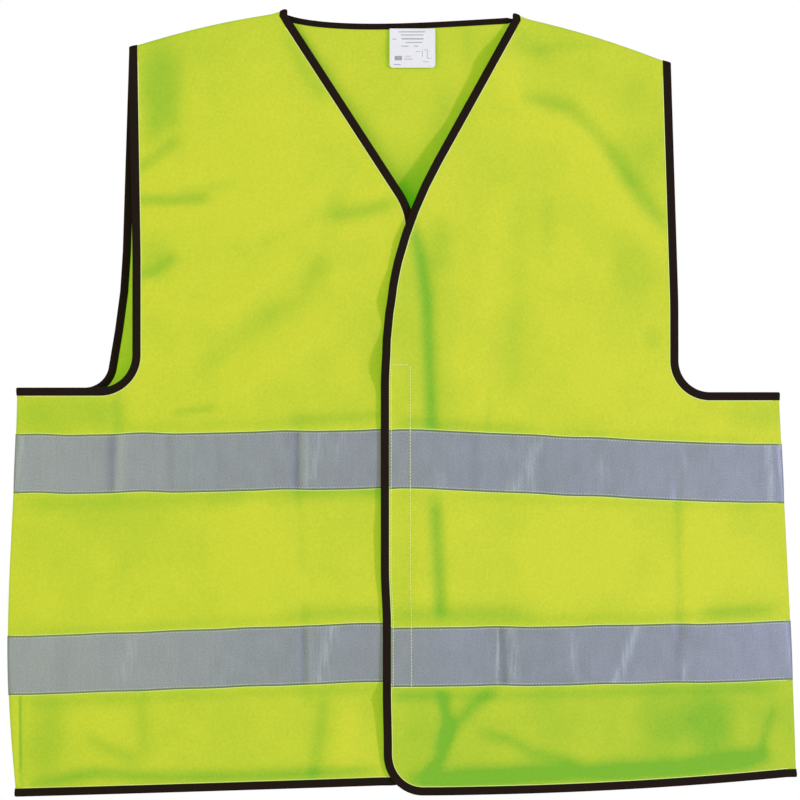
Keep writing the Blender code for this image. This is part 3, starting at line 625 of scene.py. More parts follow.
def makeSheet(name, outline, place, material, gap, thick, out=0.0, extra=(), shadeOf=None):
    inner = pointsInside(outline, gap, extra)
    coords = [Vector(p) for p in outline] + [Vector(p) for p in inner]
    count = len(outline)
    edges = [(k, (k + 1) % count) for k in range(count)]
    points, _, faces, _, _, _ = delaunay_2d_cdt(coords, edges, [], 0, 1e-7, True)
    flat = np.array([tuple(p) for p in points])
    keep = insideOf(outline, flat[np.array(faces)].mean(1))[0]
    faces = [face for face, kept in zip(faces, keep) if kept]
    values = {"shade": shadeOf(flat[:, 0], flat[:, 1])} if shadeOf else None
    piece = makePiece(name, place(flat[:, 0], flat[:, 1], out), faces, material, flat, values)
    applyTo(piece, "SOLIDIFY", thickness=thick, offset=0)
    smoothShade(piece)
    return piece


def gridFaces(count, rows):
    return [(k * rows + r, k * rows + r + 1, (k + 1) * rows + r + 1, (k + 1) * rows + r)
            for k in range(count - 1) for r in range(rows - 1)]


def skinRings(name, place, rings, material, closed=False, degrees=50):
    # rings is (u, z, out) with one row for each ring
    u, z, out = (np.array(part, float) for part in rings)
    count, corners = u.shape
    points = place(u, z, out)
    ahead = np.linalg.norm(np.diff(points.mean(1), axis=0), axis=1)
    run = np.concatenate([[0], np.cumsum(ahead)])
    around = np.linalg.norm(np.diff(points[0], axis=0, append=points[0][:1]), axis=1)
    girth = np.concatenate([[0], np.cumsum(around)[:-1]])
    flat = np.stack(np.broadcast_arrays(run[:, None], girth[None, :]), -1)
    faces = []
    for k in range(count if closed else count - 1):
        a, b = k * corners, (k + 1) % count * corners
        for c in range(corners):
            d = (c + 1) % corners
            faces.append((a + c, a + d, b + d, b + c))
    if not closed:
        faces += [tuple(range(corners))[::-1], tuple(range((count - 1) * corners, count * corners))]
    piece = makePiece(name, points, faces, material, flat)
    faceOut(piece)
    smoothShade(piece, degrees)
    return piece


def faceOut(piece):
    bpy.ops.object.select_all(action="DESELECT")
    piece.select_set(True)
    bpy.context.view_layer.objects.active = piece
    bpy.ops.object.mode_set(mode="EDIT")
    bpy.ops.mesh.select_all(action="SELECT")
    bpy.ops.mesh.normals_make_consistent(inside=False)
    bpy.ops.object.mode_set(mode="OBJECT")


def inwardAt(path):
    # the direction into the cloth at each point, longer where the path turns
    into = []
    for index, here in enumerate(path):
        before = (here - path[index - 1]).normalized() if index else None
        after = (path[index + 1] - here).normalized() if index + 1 < len(path) else None
        direction = ((before or after) + (after or before)).normalized()
        stretch = min(1 / direction.dot(before or after), 2)
        into.append(Vector((-direction.y, direction.x)) * stretch)
    return into


def ringsAlong(path, profile):
    into = inwardAt(path)
    depth, out = np.array(profile).T
    u = np.array([p.x for p in path])[:, None] + np.array([d.x for d in into])[:, None] * depth
    z = np.array([p.y for p in path])[:, None] + np.array([d.y for d in into])[:, None] * depth
    return u, z, np.broadcast_to(out, u.shape)


def stack(*parts):
    return tuple(np.vstack([part[k] for part in parts]) for k in range(3))


def flipped(rings):
    return tuple(part[::-1] for part in rings)


def mirrored(rings):
    # a side's own rings as the back's, for the wearer's right
    return -rings[0], rings[1], rings[2]


# Materials


def makeMaterial(name, color, roughness, **sockets):
    material = bpy.data.materials.new(name)
    material.use_nodes = True
    material.diffuse_color = (*color, 1)
    tree = material.node_tree
    shader = tree.nodes["Principled BSDF"]
    shader.inputs["Base Color"].default_value = (*color, 1)
    shader.inputs["Roughness"].default_value = roughness
    for socket, value in sockets.items():
        shader.inputs[socket].default_value = value
    return material, tree, shader


def addNode(tree, kind, inputs=(), **settings):
    node = tree.nodes.new("ShaderNode" + kind)
    for key, value in settings.items():
        setattr(node, key, value)
    for socket, value in dict(inputs).items():
        if isinstance(value, bpy.types.NodeSocket):
            tree.links.new(value, node.inputs[socket])
        else:
            node.inputs[socket].default_value = value
    return node


def mathNode(tree, operation, first, second=0.0, clamp=False):
    return addNode(tree, "Math", {0: first, 1: second}, operation=operation, use_clamp=clamp).outputs[0]


def mixColors(tree, share, low, high, blendType="MIX"):
    node = addNode(tree, "Mix", {0: share, 6: low, 7: high}, data_type="RGBA", blend_type=blendType)
    return node.outputs[2]


def noiseAt(tree, vector, scale, detail=2.0):
    return addNode(tree, "TexNoise", {"Vector": vector, "Scale": scale, "Detail": detail}).outputs["Fac"]


def ranged(tree, value, low, high, fromLow=0.0, fromHigh=1.0):
    inputs = {"Value": value, "From Min": fromLow, "From Max": fromHigh, "To Min": low, "To Max": high}
    return addNode(tree, "MapRange", inputs).outputs[0]


def swing(tree, value, amount):
    # noise about its middle
    return mathNode(tree, "MULTIPLY", mathNode(tree, "SUBTRACT", value, 0.5), amount)


def summed(tree, first, firstShare, second, secondShare):
    first = mathNode(tree, "MULTIPLY", first, firstShare)
    return mathNode(tree, "ADD", first, mathNode(tree, "MULTIPLY", second, secondShare))


def stretched(tree, vector, scale):
    return addNode(tree, "Mapping", {"Vector": vector, "Scale": scale}).outputs[0]


def bumpFrom(tree, shader, height, distance, strength):
    bump = addNode(tree, "Bump", {"Height": height, "Distance": distance, "Strength": strength})
    tree.links.new(bump.outputs[0], shader.inputs["Normal"])


def threadWave(tree, uv, pitch, direction):
    # one ridge for each pitch, in metres of the cut
    scale = 2 * math.pi / 20 / pitch
    node = addNode(tree, "TexWave", {"Vector": uv, "Scale": scale, "Distortion": 0.6, "Detail": 1.0},
                   bands_direction=direction)
    return node.outputs["Fac"]


clothLook = {
    # The cloth's own colour, then the painted half shade and painted shadow for its folds
    "bright": (0.560, 0.415, 0.030),
    "middle": (0.395, 0.330, 0.024),
    "paintedShadow": (0.180, 0.225, 0.018),
    # a painted green glow
    "paintedGlow": (0.02, 1.0, 0.0),
    "paintedGlowStrength": 0.24,
    "blotch": (26.0, 0.30),  # scale and strength
    "grain": (520.0, 0.36),
    "lint": 430.0,
    "fuzz": 1600.0,
    "wale": 0.00062,
    "course": 0.00074,
}


def makeClothMaterial():
    look = clothLook
    material, tree, shader = makeMaterial("fluorescentKnit", look["bright"], 0.78)
    shader.inputs["Sheen Weight"].default_value = 0.12
    shader.inputs["Sheen Roughness"].default_value = 0.5
    shader.inputs["Specular IOR Level"].default_value = 0.25
    # a painted green glow: the cloth gives off this light whatever lights it, so its shaded parts stay green
    shader.inputs["Emission Color"].default_value = (*look["paintedGlow"], 1)
    shader.inputs["Emission Strength"].default_value = look["paintedGlowStrength"]
    coords = addNode(tree, "TexCoord")
    shade = addNode(tree, "Attribute", attribute_name="shade").outputs["Fac"]
    blotch = noiseAt(tree, coords.outputs["Object"], look["blotch"][0], 3.0)
    grain = noiseAt(tree, coords.outputs["Object"], look["grain"][0])
    shade = mathNode(tree, "ADD", shade, swing(tree, blotch, look["blotch"][1]))
    shade = mathNode(tree, "ADD", shade, swing(tree, grain, look["grain"][1]))
    # The ramp paints shade into the colour: from the cloth's own colour to painted half shade and painted
    # shadow
    ramp = addNode(tree, "ValToRGB", {"Fac": shade})
    ramp.color_ramp.elements[0].color = (*look["bright"], 1)
    ramp.color_ramp.elements[1].color = (*look["paintedShadow"], 1)
    ramp.color_ramp.elements.new(0.42).color = (*look["middle"], 1)
    wale = threadWave(tree, coords.outputs["UV"], look["wale"], "X")
    course = threadWave(tree, coords.outputs["UV"], look["course"], "Y")
    knit = summed(tree, wale, 0.6, course, 0.4)
    color = mixColors(tree, 1.0, ramp.outputs["Color"], ranged(tree, knit, 0.90, 1.04), "MULTIPLY")
    lint = noiseAt(tree, coords.outputs["Object"], look["lint"])
    color = mixColors(tree, 1.0, color, ranged(tree, lint, 0.95, 1.05, 0.3, 0.7), "MULTIPLY")
    tree.links.new(color, shader.inputs["Base Color"])
    fuzz = noiseAt(tree, coords.outputs["Object"], look["fuzz"], 1.0)
    height = mathNode(tree, "ADD", knit, mathNode(tree, "MULTIPLY", fuzz, 0.5))
    bumpFrom(tree, shader, height, 0.00009, 0.55)
    tree.links.new(ranged(tree, grain, 0.70, 0.88), shader.inputs["Roughness"])
    return material


tapeLook = {
    "base": (0.248, 0.284, 0.316),
    # a painted shade for the tape's creases
    "crease": (0.160, 0.188, 0.198),
    # a painted highlight for the tape's glints
    "glint": (0.44, 0.52, 0.57),
    # a painted shadow along the tape's edges
    "edge": (0.085, 0.170, 0.040),
}


def makeTapeMaterial():
    look = tapeLook
    material, tree, shader = makeMaterial("retroreflectiveTape", look["base"], 0.42)
    shader.inputs["Metallic"].default_value = 0.25
    shader.inputs["Specular IOR Level"].default_value = 0.45
    coords = addNode(tree, "TexCoord")
    uv = coords.outputs["UV"]
    shade = addNode(tree, "Attribute", attribute_name="shade").outputs["Fac"]
    glint = addNode(tree, "Attribute", attribute_name="glint").outputs["Fac"]
    streak = noiseAt(tree, stretched(tree, uv, (420.0, 40.0, 1.0)), 1.0, 3.0)
    cloud = noiseAt(tree, stretched(tree, uv, (90.0, 50.0, 1.0)), 1.0, 2.0)
    beads = noiseAt(tree, uv, 900.0, 2.0)
    # painted shade in the tape's creases
    creaseShade = mathNode(tree, "MULTIPLY", shade, 0.9, True)
    color = mixColors(tree, creaseShade, (*look["base"], 1), (*look["crease"], 1))
    # painted glints, broken up by the streaks
    paintedGlint = mathNode(tree, "MULTIPLY", glint, ranged(tree, streak, 0.0, 1.0, 0.30, 0.70), True)
    color = mixColors(tree, paintedGlint, color, (*look["glint"], 1))
    for value, low, high in ((streak, 0.96, 1.04), (cloud, 0.95, 1.05), (beads, 0.80, 1.20)):
        color = mixColors(tree, 1.0, color, ranged(tree, value, low, high, 0.25, 0.75), "MULTIPLY")
    # a painted shadow: dark green along both edges of the tape
    edge = addNode(tree, "Attribute", attribute_name="edge").outputs["Fac"]
    color = mixColors(tree, edge, color, (*look["edge"], 1))
    tree.links.new(color, shader.inputs["Base Color"])
    tree.links.new(ranged(tree, cloud, 0.34, 0.52), shader.inputs["Roughness"])
    bumpFrom(tree, shader, summed(tree, streak, 0.6, beads, 0.5), 0.00006, 0.5)
    return material


bindingLook = {"light": (0.0165, 0.0085, 0.0045), "dark": (0.0062, 0.0034, 0.0018), "rib": 0.00085}


def makeBindingMaterial():
    look = bindingLook
    material, tree, shader = makeMaterial("blackEdgeBraid", look["light"], 0.72)
    shader.inputs["Specular IOR Level"].default_value = 0.08
    coords = addNode(tree, "TexCoord")
    rib = threadWave(tree, coords.outputs["UV"], look["rib"], "DIAGONAL")
    length = threadWave(tree, coords.outputs["UV"], look["rib"] * 0.8, "Y")
    lint = noiseAt(tree, coords.outputs["Object"], 300.0, 3.0)
    weave = mathNode(tree, "MULTIPLY", mathNode(tree, "ADD", rib, length), 0.5)
    share = mathNode(tree, "MULTIPLY", mathNode(tree, "ADD", weave, lint), 0.5)
    color = mixColors(tree, share, (*look["dark"], 1), (*look["light"], 1))
    tree.links.new(color, shader.inputs["Base Color"])
    tree.links.new(ranged(tree, lint, 0.60, 0.82), shader.inputs["Roughness"])
    bumpFrom(tree, shader, weave, 0.00018, 0.7)
    return material


def makeThreadMaterial(name, light, dark):
    material, tree, shader = makeMaterial(name, light, 0.6)
    shader.inputs["Sheen Weight"].default_value = 0.1
    coords = addNode(tree, "TexCoord")
    twist = noiseAt(tree, coords.outputs["Object"], 900.0, 2.0)
    color = mixColors(tree, twist, (*dark, 1), (*light, 1))
    tree.links.new(color, shader.inputs["Base Color"])
    bumpFrom(tree, shader, twist, 0.0001, 0.5)
    return material


def makeClosureMaterial(name, light, dark, cell):
    material, tree, shader = makeMaterial(name, light, 0.9)
    shader.inputs["Sheen Weight"].default_value = 0.3
    coords = addNode(tree, "TexCoord")
    pile = addNode(tree, "TexVoronoi", {"Vector": coords.outputs["Object"], "Scale": 1 / cell})
    fuzz = noiseAt(tree, coords.outputs["Object"], 700.0, 3.0)
    share = mathNode(tree, "MULTIPLY", mathNode(tree, "ADD", pile.outputs["Distance"], fuzz), 0.6, True)
    tree.links.new(mixColors(tree, share, (*dark, 1), (*light, 1)), shader.inputs["Base Color"])
    bumpFrom(tree, shader, share, 0.0005, 0.8)
    return material


def makeLabelMaterial():
    material, tree, shader = makeMaterial("labelSatin", (0.74, 0.77, 0.80), 0.45)
    shader.inputs["Sheen Weight"].default_value = 0.15
    coords = addNode(tree, "TexCoord")
    weft = threadWave(tree, coords.outputs["UV"], 0.00035, "Y")
    warp = threadWave(tree, coords.outputs["UV"], 0.00035, "X")
    stain = noiseAt(tree, coords.outputs["Object"], 90.0, 3.0)
    weave = mathNode(tree, "MULTIPLY", weft, warp)
    share = mathNode(tree, "MULTIPLY", mathNode(tree, "ADD", weave, stain), 0.6, True)
    color = mixColors(tree, share, (0.66, 0.69, 0.73, 1), (0.80, 0.82, 0.84, 1))
    tree.links.new(color, shader.inputs["Base Color"])
    bumpFrom(tree, shader, weave, 0.00004, 0.6)
    return material


def makePrintMaterial():
    material, tree, shader = makeMaterial("labelPrint", (0.22, 0.24, 0.28), 0.55)
    coords = addNode(tree, "TexCoord")
    worn = noiseAt(tree, coords.outputs["Object"], 1100.0, 2.0)
    color = mixColors(tree, worn, (0.12, 0.13, 0.16, 1), (0.50, 0.52, 0.56, 1))
    tree.links.new(color, shader.inputs["Base Color"])
    return material


clothFinish = makeClothMaterial()
tapeFinish = makeTapeMaterial()
bindingFinish = makeBindingMaterial()
paleThread = makeThreadMaterial("paleThread", (0.66, 0.70, 0.52), (0.48, 0.52, 0.34))
closureThread = makeThreadMaterial("closureThread", (0.80, 0.86, 0.34), (0.62, 0.72, 0.22))
# paler than the cloth: a painted highlight on the raised cloth beside each sewn edge
ridgeHighlight = makeThreadMaterial("edgeRidgeHighlight", (0.80, 0.88, 0.30), (0.66, 0.78, 0.20))
hookFinish = makeClosureMaterial("hookTape", (0.50, 0.52, 0.10), (0.26, 0.30, 0.04), 0.0011)
loopFinish = makeClosureMaterial("loopTape", (0.58, 0.60, 0.10), (0.36, 0.42, 0.05), 0.0007)
labelFinish = makeLabelMaterial()
printFinish = makePrintMaterial()
print("materials made")

# Cloth

cloth = {"gap": 0.0042, "backGap": 0.0048, "edgeGap": 0.004, "foldGap": 0.0012, "foldTop": -0.030}
# the right front's lower corner is creased: rows of points across it
crease = {"rows": (0.3206, 0.3217, 0.3228, 0.3239, 0.3250), "top": -0.577, "bottom": -0.640, "gap": 0.0025}


def shoulderRows(side, sign=1):
    us = along(cut["shoulderHalf"] - 0.002, cut["neckHalf"] + 0.002, cloth["edgeGap"])
    rows = [quarterRoll * k / 4 for k in (0, 1, 2, 3)]
    return [Vector((u * sign, shoulderZ(side, u) + d)) for d in rows for u in us]


def sideRows(side, sign=1):
    bottom, top = lineZ(side, "hem", cut["hemHalf"]) + 0.003, underarmZ(side) - 0.003
    rows = [quarterRoll * k / 4 for k in (0, 1, 2, 3)]
    zs = along(bottom, top, cloth["edgeGap"])
    return [Vector(((halfWidth(side, z) + d) * sign, z)) for d in rows for z in zs]


def foldColumns():
    return along(hang["fold"] - hang["foldHalf"], hang["fold"] + hang["foldHalf"], cloth["foldGap"])


def foldRows(side):
    # close rows where an opened front bends
    zs = along(cloth["foldTop"], lineZ(side, "hem", hang["fold"]) + 0.003, cloth["edgeGap"])
    return [Vector((u, z)) for u in foldColumns() for z in zs]


def creaseRows(side):
    if side == "left":
        return []
    zs = along(crease["top"], crease["bottom"], crease["gap"])
    return [Vector((u, z)) for u in crease["rows"] for z in zs]


def sideEdge(side):
    # up the side seam, on the roll, from hem to underarm
    zs = along(lineZ(side, "hem", cut["hemHalf"]), underarmZ(side), cloth["edgeGap"])
    return [Vector((halfWidth(side, z) + quarterRoll, z)) for z in zs]


def shoulderEdge(side):
    us = along(cut["shoulderHalf"], cut["neckHalf"], cloth["edgeGap"])
    return [Vector((u, shoulderZ(side, u) + quarterRoll)) for u in us]


def makeFrontCloth(side):
    sign = settle[side]["sign"]
    gap = cloth["edgeGap"]
    outline = joined([spaced(neckPath(side), gap), hemPath(side, gap), sideEdge(side),
                      spaced(armholePath(side, "front"), gap), shoulderEdge(side)])
    # painted shade towards the hem, stronger on the wearer's left front
    shadeOf = lambda u, z: clothShade(
        u * sign, z, frontFolds[side], frontPatches[side], *((0, 0.28) if side == "left" else (40, 0.08)))
    rows = shoulderRows(side) + sideRows(side) + foldRows(side) + creaseRows(side)
    piece = makeSheet(side + "_front", outline, placer(side), clothFinish, cloth["gap"],
                      2 * layer["clothHalf"], 0.0, rows, shadeOf)
    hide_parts(side + "_front_panel", side + "_front_flap")
    return piece, outline


def makeBackCloth():
    halves = {}
    gap = cloth["edgeGap"]
    for side in settle:
        hem = [Vector((u, 0)) for u in along(0, halfWidth(side, lineZ(side, "hem", cut["hemHalf"])), gap)]
        sign = settle[side]["sign"]
        for p in hem:
            p.y = backLineZ("hem", p.x * sign, cut["backHemRise"])
        armhole = spaced(armholePath(side, "back"), gap)
        halves[side] = joined([hem, sideEdge(side), armhole, shoulderEdge(side)])
    neck = [Vector((x, backNeckZ(x))) for x in along(-cut["neckHalf"], cut["neckHalf"], gap)]
    right = [Vector((-p.x, p.y)) for p in reversed(halves["right"][1:])]
    outline = joined([halves["left"], neck[::-1], right])
    extra = shoulderRows("left") + sideRows("left") + shoulderRows("right", -1) + sideRows("right", -1)
    shadeOf = lambda x, z: clothShade(x, z, backFolds, backPatches, 80)
    piece = makeSheet("back", outline, placer("back"), clothFinish, cloth["backGap"],
                      2 * layer["clothHalf"], 0.0, extra, shadeOf)
    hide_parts("back_panel")
    return piece, outline


leftFront, leftOutline = makeFrontCloth("left")
rightFront, rightOutline = makeFrontCloth("right")
back, backOutline = makeBackCloth()
print("cloth cut and hung:", [len(piece.data.polygons) for piece in (leftFront, rightFront, back)])

# Bindings, a braid folded over the cloth's edge

binding = {"reach": 0.0056, "backNeckReach": 0.0038, "gap": 0.003, "hemJoin": 0.120, "rollSteps": 8}


def bindingProfile(reach=binding["reach"]):
    # (distance into the cloth, out from its middle), once round
    shares = [(1.0, 0.00034), (1.008, 0.00062), (0.93, 0.00088), (0.80, 0.00080), (0.55, 0.00106),
              (0.22, 0.00116)]
    outer = [(share * reach, out) for share, out in shares]
    fold = [(-0.0004, 0.00108), (-0.0010, 0.00072), (-0.0013, 0.0)]
    half = outer + fold
    inner = [(-0.0003, -0.00034), (-0.0003, 0.00034)]
    return half + [(depth, -out) for depth, out in half[:-1][::-1]] + inner


def shoulderRings(side, u, into, reaches):
    rings = []
    for k, reach in enumerate(reaches):
        depth, out = np.array(bindingProfile(reach)).T
        us = u + into * depth
        rings.append((us, shoulderZ(side, us) + math.pi * hang["roll"] * k / (len(reaches) - 1), out))
    return tuple(np.array([ring[part] for ring in rings]) for part in range(3))


def sideRings(side, z, into):
    depth, out = np.array(bindingProfile()).T
    steps = binding["rollSteps"]
    zs = z + into * depth
    turns = [math.pi * hang["roll"] * k / steps for k in range(steps + 1)]
    return (np.array([halfWidth(side, zs) + turn for turn in turns]), np.array([zs for _ in turns]),
            np.array([out for _ in turns]))


def makeFrontBinding(side):
    hem = [p for p in hemPath(side) if p.x < binding["hemJoin"]]
    hem.append(Vector((binding["hemJoin"], lineZ(side, "hem", binding["hemJoin"]))))
    path = spaced(joined([neckPath(side), hem]), binding["gap"])
    neckRing = shoulderRings(side, cut["neckHalf"], 1, [binding["reach"]] * 2)
    rings = ringsAlong(path, bindingProfile())
    rings = stack(tuple(part[:1] for part in neckRing), tuple(part[2:] for part in rings))
    piece = skinRings(side + "_front_braid", placer(side), rings, bindingFinish)
    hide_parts(side + "_front_edge_binding")
    return piece


def placeMixed(parts):
    # each part is (side, rings): rings on a front, or on the back with x for u
    def place(u, z, out):
        points, start = [], 0
        for side, rings in parts:
            end = start + len(rings[0])
            points.append(placer(side)(u[start:end], z[start:end], out[start:end]))
            start = end
        return np.concatenate(points)
    return place


def makeRunBinding(name, node, parts, closed=False):
    rings = stack(*[part for _, part in parts])
    piece = skinRings(name, placeMixed(parts), rings, bindingFinish, closed)
    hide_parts(node)
    return piece


def makeNeckBinding():
    steps = binding["rollSteps"]
    grow = [lerp(binding["reach"], binding["backNeckReach"], k / steps) for k in range(steps + 1)]
    over = {side: shoulderRings(side, cut["neckHalf"], 1, grow) for side in settle}
    xs = along(cut["neckHalf"], -cut["neckHalf"], binding["gap"])[2:-2]
    neck = ringsAlong([Vector((x, backNeckZ(x))) for x in xs], bindingProfile(binding["backNeckReach"]))
    parts = [("left", over["left"]), ("back", neck), ("right", flipped(over["right"]))]
    return makeRunBinding("neck_braid", "neck_binding", parts)


def makeHemBinding():
    parts = []
    for side in ("right", "left"):
        end = halfWidth(side, lineZ(side, "hem", cut["hemHalf"]))
        path = [Vector((u, lineZ(side, "hem", u))) for u in along(binding["hemJoin"], end, binding["gap"])]
        front = tuple(part[:-1] for part in ringsAlong(path, bindingProfile()))
        parts.append([(side, front), (side, sideRings(side, path[-1].y, 1))])
    low = -halfWidth("right", lineZ("right", "hem", cut["hemHalf"]))
    high = halfWidth("left", lineZ("left", "hem", cut["hemHalf"]))
    xs = along(low, high, binding["gap"])[1:-1]
    path = [Vector((x, backLineZ("hem", x, cut["backHemRise"]))) for x in xs]
    backPart = ringsAlong(path, bindingProfile())
    left = [(side, flipped(rings)) for side, rings in parts[1][::-1]]
    return makeRunBinding("hem_braid", "hem_binding", parts[0] + [("back", backPart)] + left)


def makeArmholeBinding(side):
    front = ringsAlong(spaced(armholePath(side, "front"), binding["gap"]), bindingProfile())
    behind = ringsAlong(spaced(armholePath(side, "back"), binding["gap"]), bindingProfile())
    if side == "right":
        behind = mirrored(behind)
    steps = binding["rollSteps"] + 1
    parts = [
        (side, tuple(part[1:-1] for part in front)),
        (side, shoulderRings(side, cut["shoulderHalf"], -1, [binding["reach"]] * steps)),
        ("back", flipped(tuple(part[1:-1] for part in behind))),
        (side, flipped(sideRings(side, underarmZ(side), -1))),
    ]
    return makeRunBinding(side + "_armhole_braid", side + "_armhole_binding", parts, closed=True)


bindings = {
    "left": [makeFrontBinding("left"), makeArmholeBinding("left")],
    "right": [makeFrontBinding("right"), makeArmholeBinding("right")],
    "back": [makeNeckBinding(), makeHemBinding()],
}
print("edges bound")

# Reflective tapes. A crease is a painted shade on the tape: (points of its line, half width, strength); a
# glint is a painted highlight where the beads throw the light back.
tapeCreaseShades = [
    ([(-0.0867, -0.345), (-0.0867, -0.410)], 0.0048, 0.85),
    ([(-0.244, -0.350), (-0.245, -0.412)], 0.0035, 0.50),
    ([(-0.196, -0.350), (-0.193, -0.412)], 0.0022, 0.40),
    ([(-0.0810, -0.512), (-0.0800, -0.578)], 0.0036, 0.75),
    ([(-0.155, -0.350), (-0.152, -0.412)], 0.0018, 0.25),
    ([(0.0855, -0.514), (0.0895, -0.578)], 0.0035, 0.75),
    ([(0.236, -0.514), (0.237, -0.576)], 0.0035, 0.55),
    ([(0.062, -0.353), (0.063, -0.410)], 0.0050, 0.30),
    ([(0.120, -0.356), (0.121, -0.412)], 0.0040, 0.25),
    ([(0.318, -0.360), (0.322, -0.418)], 0.0030, 0.40),
    ([(-0.285, -0.524), (-0.287, -0.585)], 0.0080, 0.20),
]
tapeGlints = [
    ([(0.1165, -0.364), (0.107, -0.385), (0.096, -0.406)], 0.0048, 0.60),
    ([(0.1115, -0.385), (0.1125, -0.408)], 0.0024, 0.45),
    ([(0.0345, -0.392), (0.0335, -0.404)], 0.0030, 0.40),
    ([(0.313, -0.366), (0.316, -0.412)], 0.0036, 0.55),
    ([(0.0825, -0.521), (0.0840, -0.575)], 0.0012, 0.75),
    ([(0.0940, -0.518), (0.0970, -0.565)], 0.0040, 0.45),
    ([(0.146, -0.525), (0.148, -0.562)], 0.0026, 0.40),
    ([(0.2010, -0.518), (0.191, -0.548), (0.180, -0.572)], 0.0030, 0.75),
    ([(0.240, -0.552), (0.242, -0.574)], 0.0026, 0.40),
    ([(-0.0580, -0.520), (-0.0640, -0.545), (-0.0690, -0.570)], 0.0055, 0.50),
    ([(-0.066, -0.352), (-0.074, -0.392)], 0.0038, 0.40),
    ([(-0.0480, -0.352), (-0.0540, -0.380)], 0.0020, 0.30),
    ([(-0.0785, -0.352), (-0.0785, -0.402)], 0.0016, 0.40),
    ([(-0.228, -0.530), (-0.233, -0.560)], 0.0060, 0.25),
    ([(0.172, -0.368), (0.170, -0.410)], 0.0022, 0.25),
    ([(0.240, -0.368), (0.2445, -0.412)], 0.0024, 0.28),
    ([(0.090, -0.366), (0.0905, -0.405)], 0.0018, 0.20),
    ([(-0.320, -0.355), (-0.322, -0.405)], 0.0030, 0.20),
]
tape = {"column": 0.003, "rows": 10}


def markStrength(x, z, marks):
    total = np.zeros(np.shape(x))
    for line, wide, strength in marks:
        nearest = np.full(np.shape(x), 1e9)
        for start, end in zip(line, line[1:]):
            nearest = np.minimum(nearest, toSegment(x, z, start, end)[1])
        total += strength * np.exp(-((nearest / wide) ** 2))
    return total


def makeTape(name, side, line, nodes):
    if side == "back":
        zs = backLineZ(line, np.array([-cut["hemHalf"], cut["hemHalf"]]))
        low = -halfWidth("right", zs[0] - cut["tapeWidth"] / 2) - quarterRoll
        high = halfWidth("left", zs[1] - cut["tapeWidth"] / 2) + quarterRoll
        topOf = lambda x: backLineZ(line, x)
    else:
        low = frontEdgeU(side) + binding["reach"] + 0.0003
        high = halfWidth(side, lineZ(side, line, cut["hemHalf"]) - cut["tapeWidth"] / 2) + quarterRoll
        topOf = lambda u: lineZ(side, line, u)
    ends = [quarterRoll * k / 4 for k in range(4)]
    us = along(low + (quarterRoll if side == "back" else 0), high - quarterRoll, tape["column"])[1:-1]
    us = ([low + d for d in ends] if side == "back" else [low]) + us + [high - d for d in ends[::-1]]
    if side != "back":
        us = [u for u in us if abs(u - hang["fold"]) > hang["foldHalf"] + 0.001]
        us = sorted(us + foldColumns())
    us = np.array(us)[:, None]
    shares = np.array([0, 0.014, 0.027, *np.linspace(0.05, 0.95, tape["rows"]), 0.973, 0.986, 1])[None, :]
    z = topOf(us) - shares * cut["tapeWidth"]
    u = np.broadcast_to(us, z.shape)
    x = u * (1 if side == "back" else settle[side]["sign"])
    marks = {"shade": np.zeros(z.shape), "glint": np.zeros(z.shape)}
    if side != "back":
        # painted shade in the creases and painted highlights at the glints
        marks = {"shade": markStrength(x, z, tapeCreaseShades), "glint": markStrength(x, z, tapeGlints)}
        # painted shade: the front tapes darker towards the wearer's left, the lower tape most
        marks["shade"] = marks["shade"] + (0.14 if line == "lowerTape" else 0.02) * ease((x - 0.02) / 0.10)
    # painted shadow along the tape's two edges
    marks["edge"] = np.broadcast_to(np.clip(1.9 - 70 * np.minimum(shares, 1 - shares), 0, 1), z.shape)
    points = placer(side)(u, z, layer["tapeOut"])
    flat = np.stack([u, z], -1)
    piece = makePiece(name, points, gridFaces(*z.shape), tapeFinish, flat, marks)
    applyTo(piece, "SOLIDIFY", thickness=layer["tape"], offset=0)
    smoothShade(piece)
    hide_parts(*nodes)
    return piece, float(high - low)


tapes = {}
for side in ("left", "right"):
    for level in ("upper", "lower"):
        nodes = [f"{level}_{side}_front_tape", f"{level}_{side}_flap_tape"]
        tapes[side, level] = makeTape(f"{level}_{side}_band", side, level + "Tape", nodes)
for level in ("upper", "lower"):
    tapes["back", level] = makeTape(f"{level}_back_band", "back", level + "Tape", [f"{level}_back_tape"])
print("tapes laid")

# Thread: stitches, and the raised cloth beside each sewn edge, which is painted paler as a highlight

stitch = {"pitch": 0.0026, "length": 0.0017, "radius": 0.00026, "sides": 5}
closureStitch = {"pitch": 0.0027, "length": 0.0021, "radius": 0.00034, "sides": 5}
ridge = {"radius": 0.00034, "gap": 0.003, "past": 0.0005, "sides": 6}


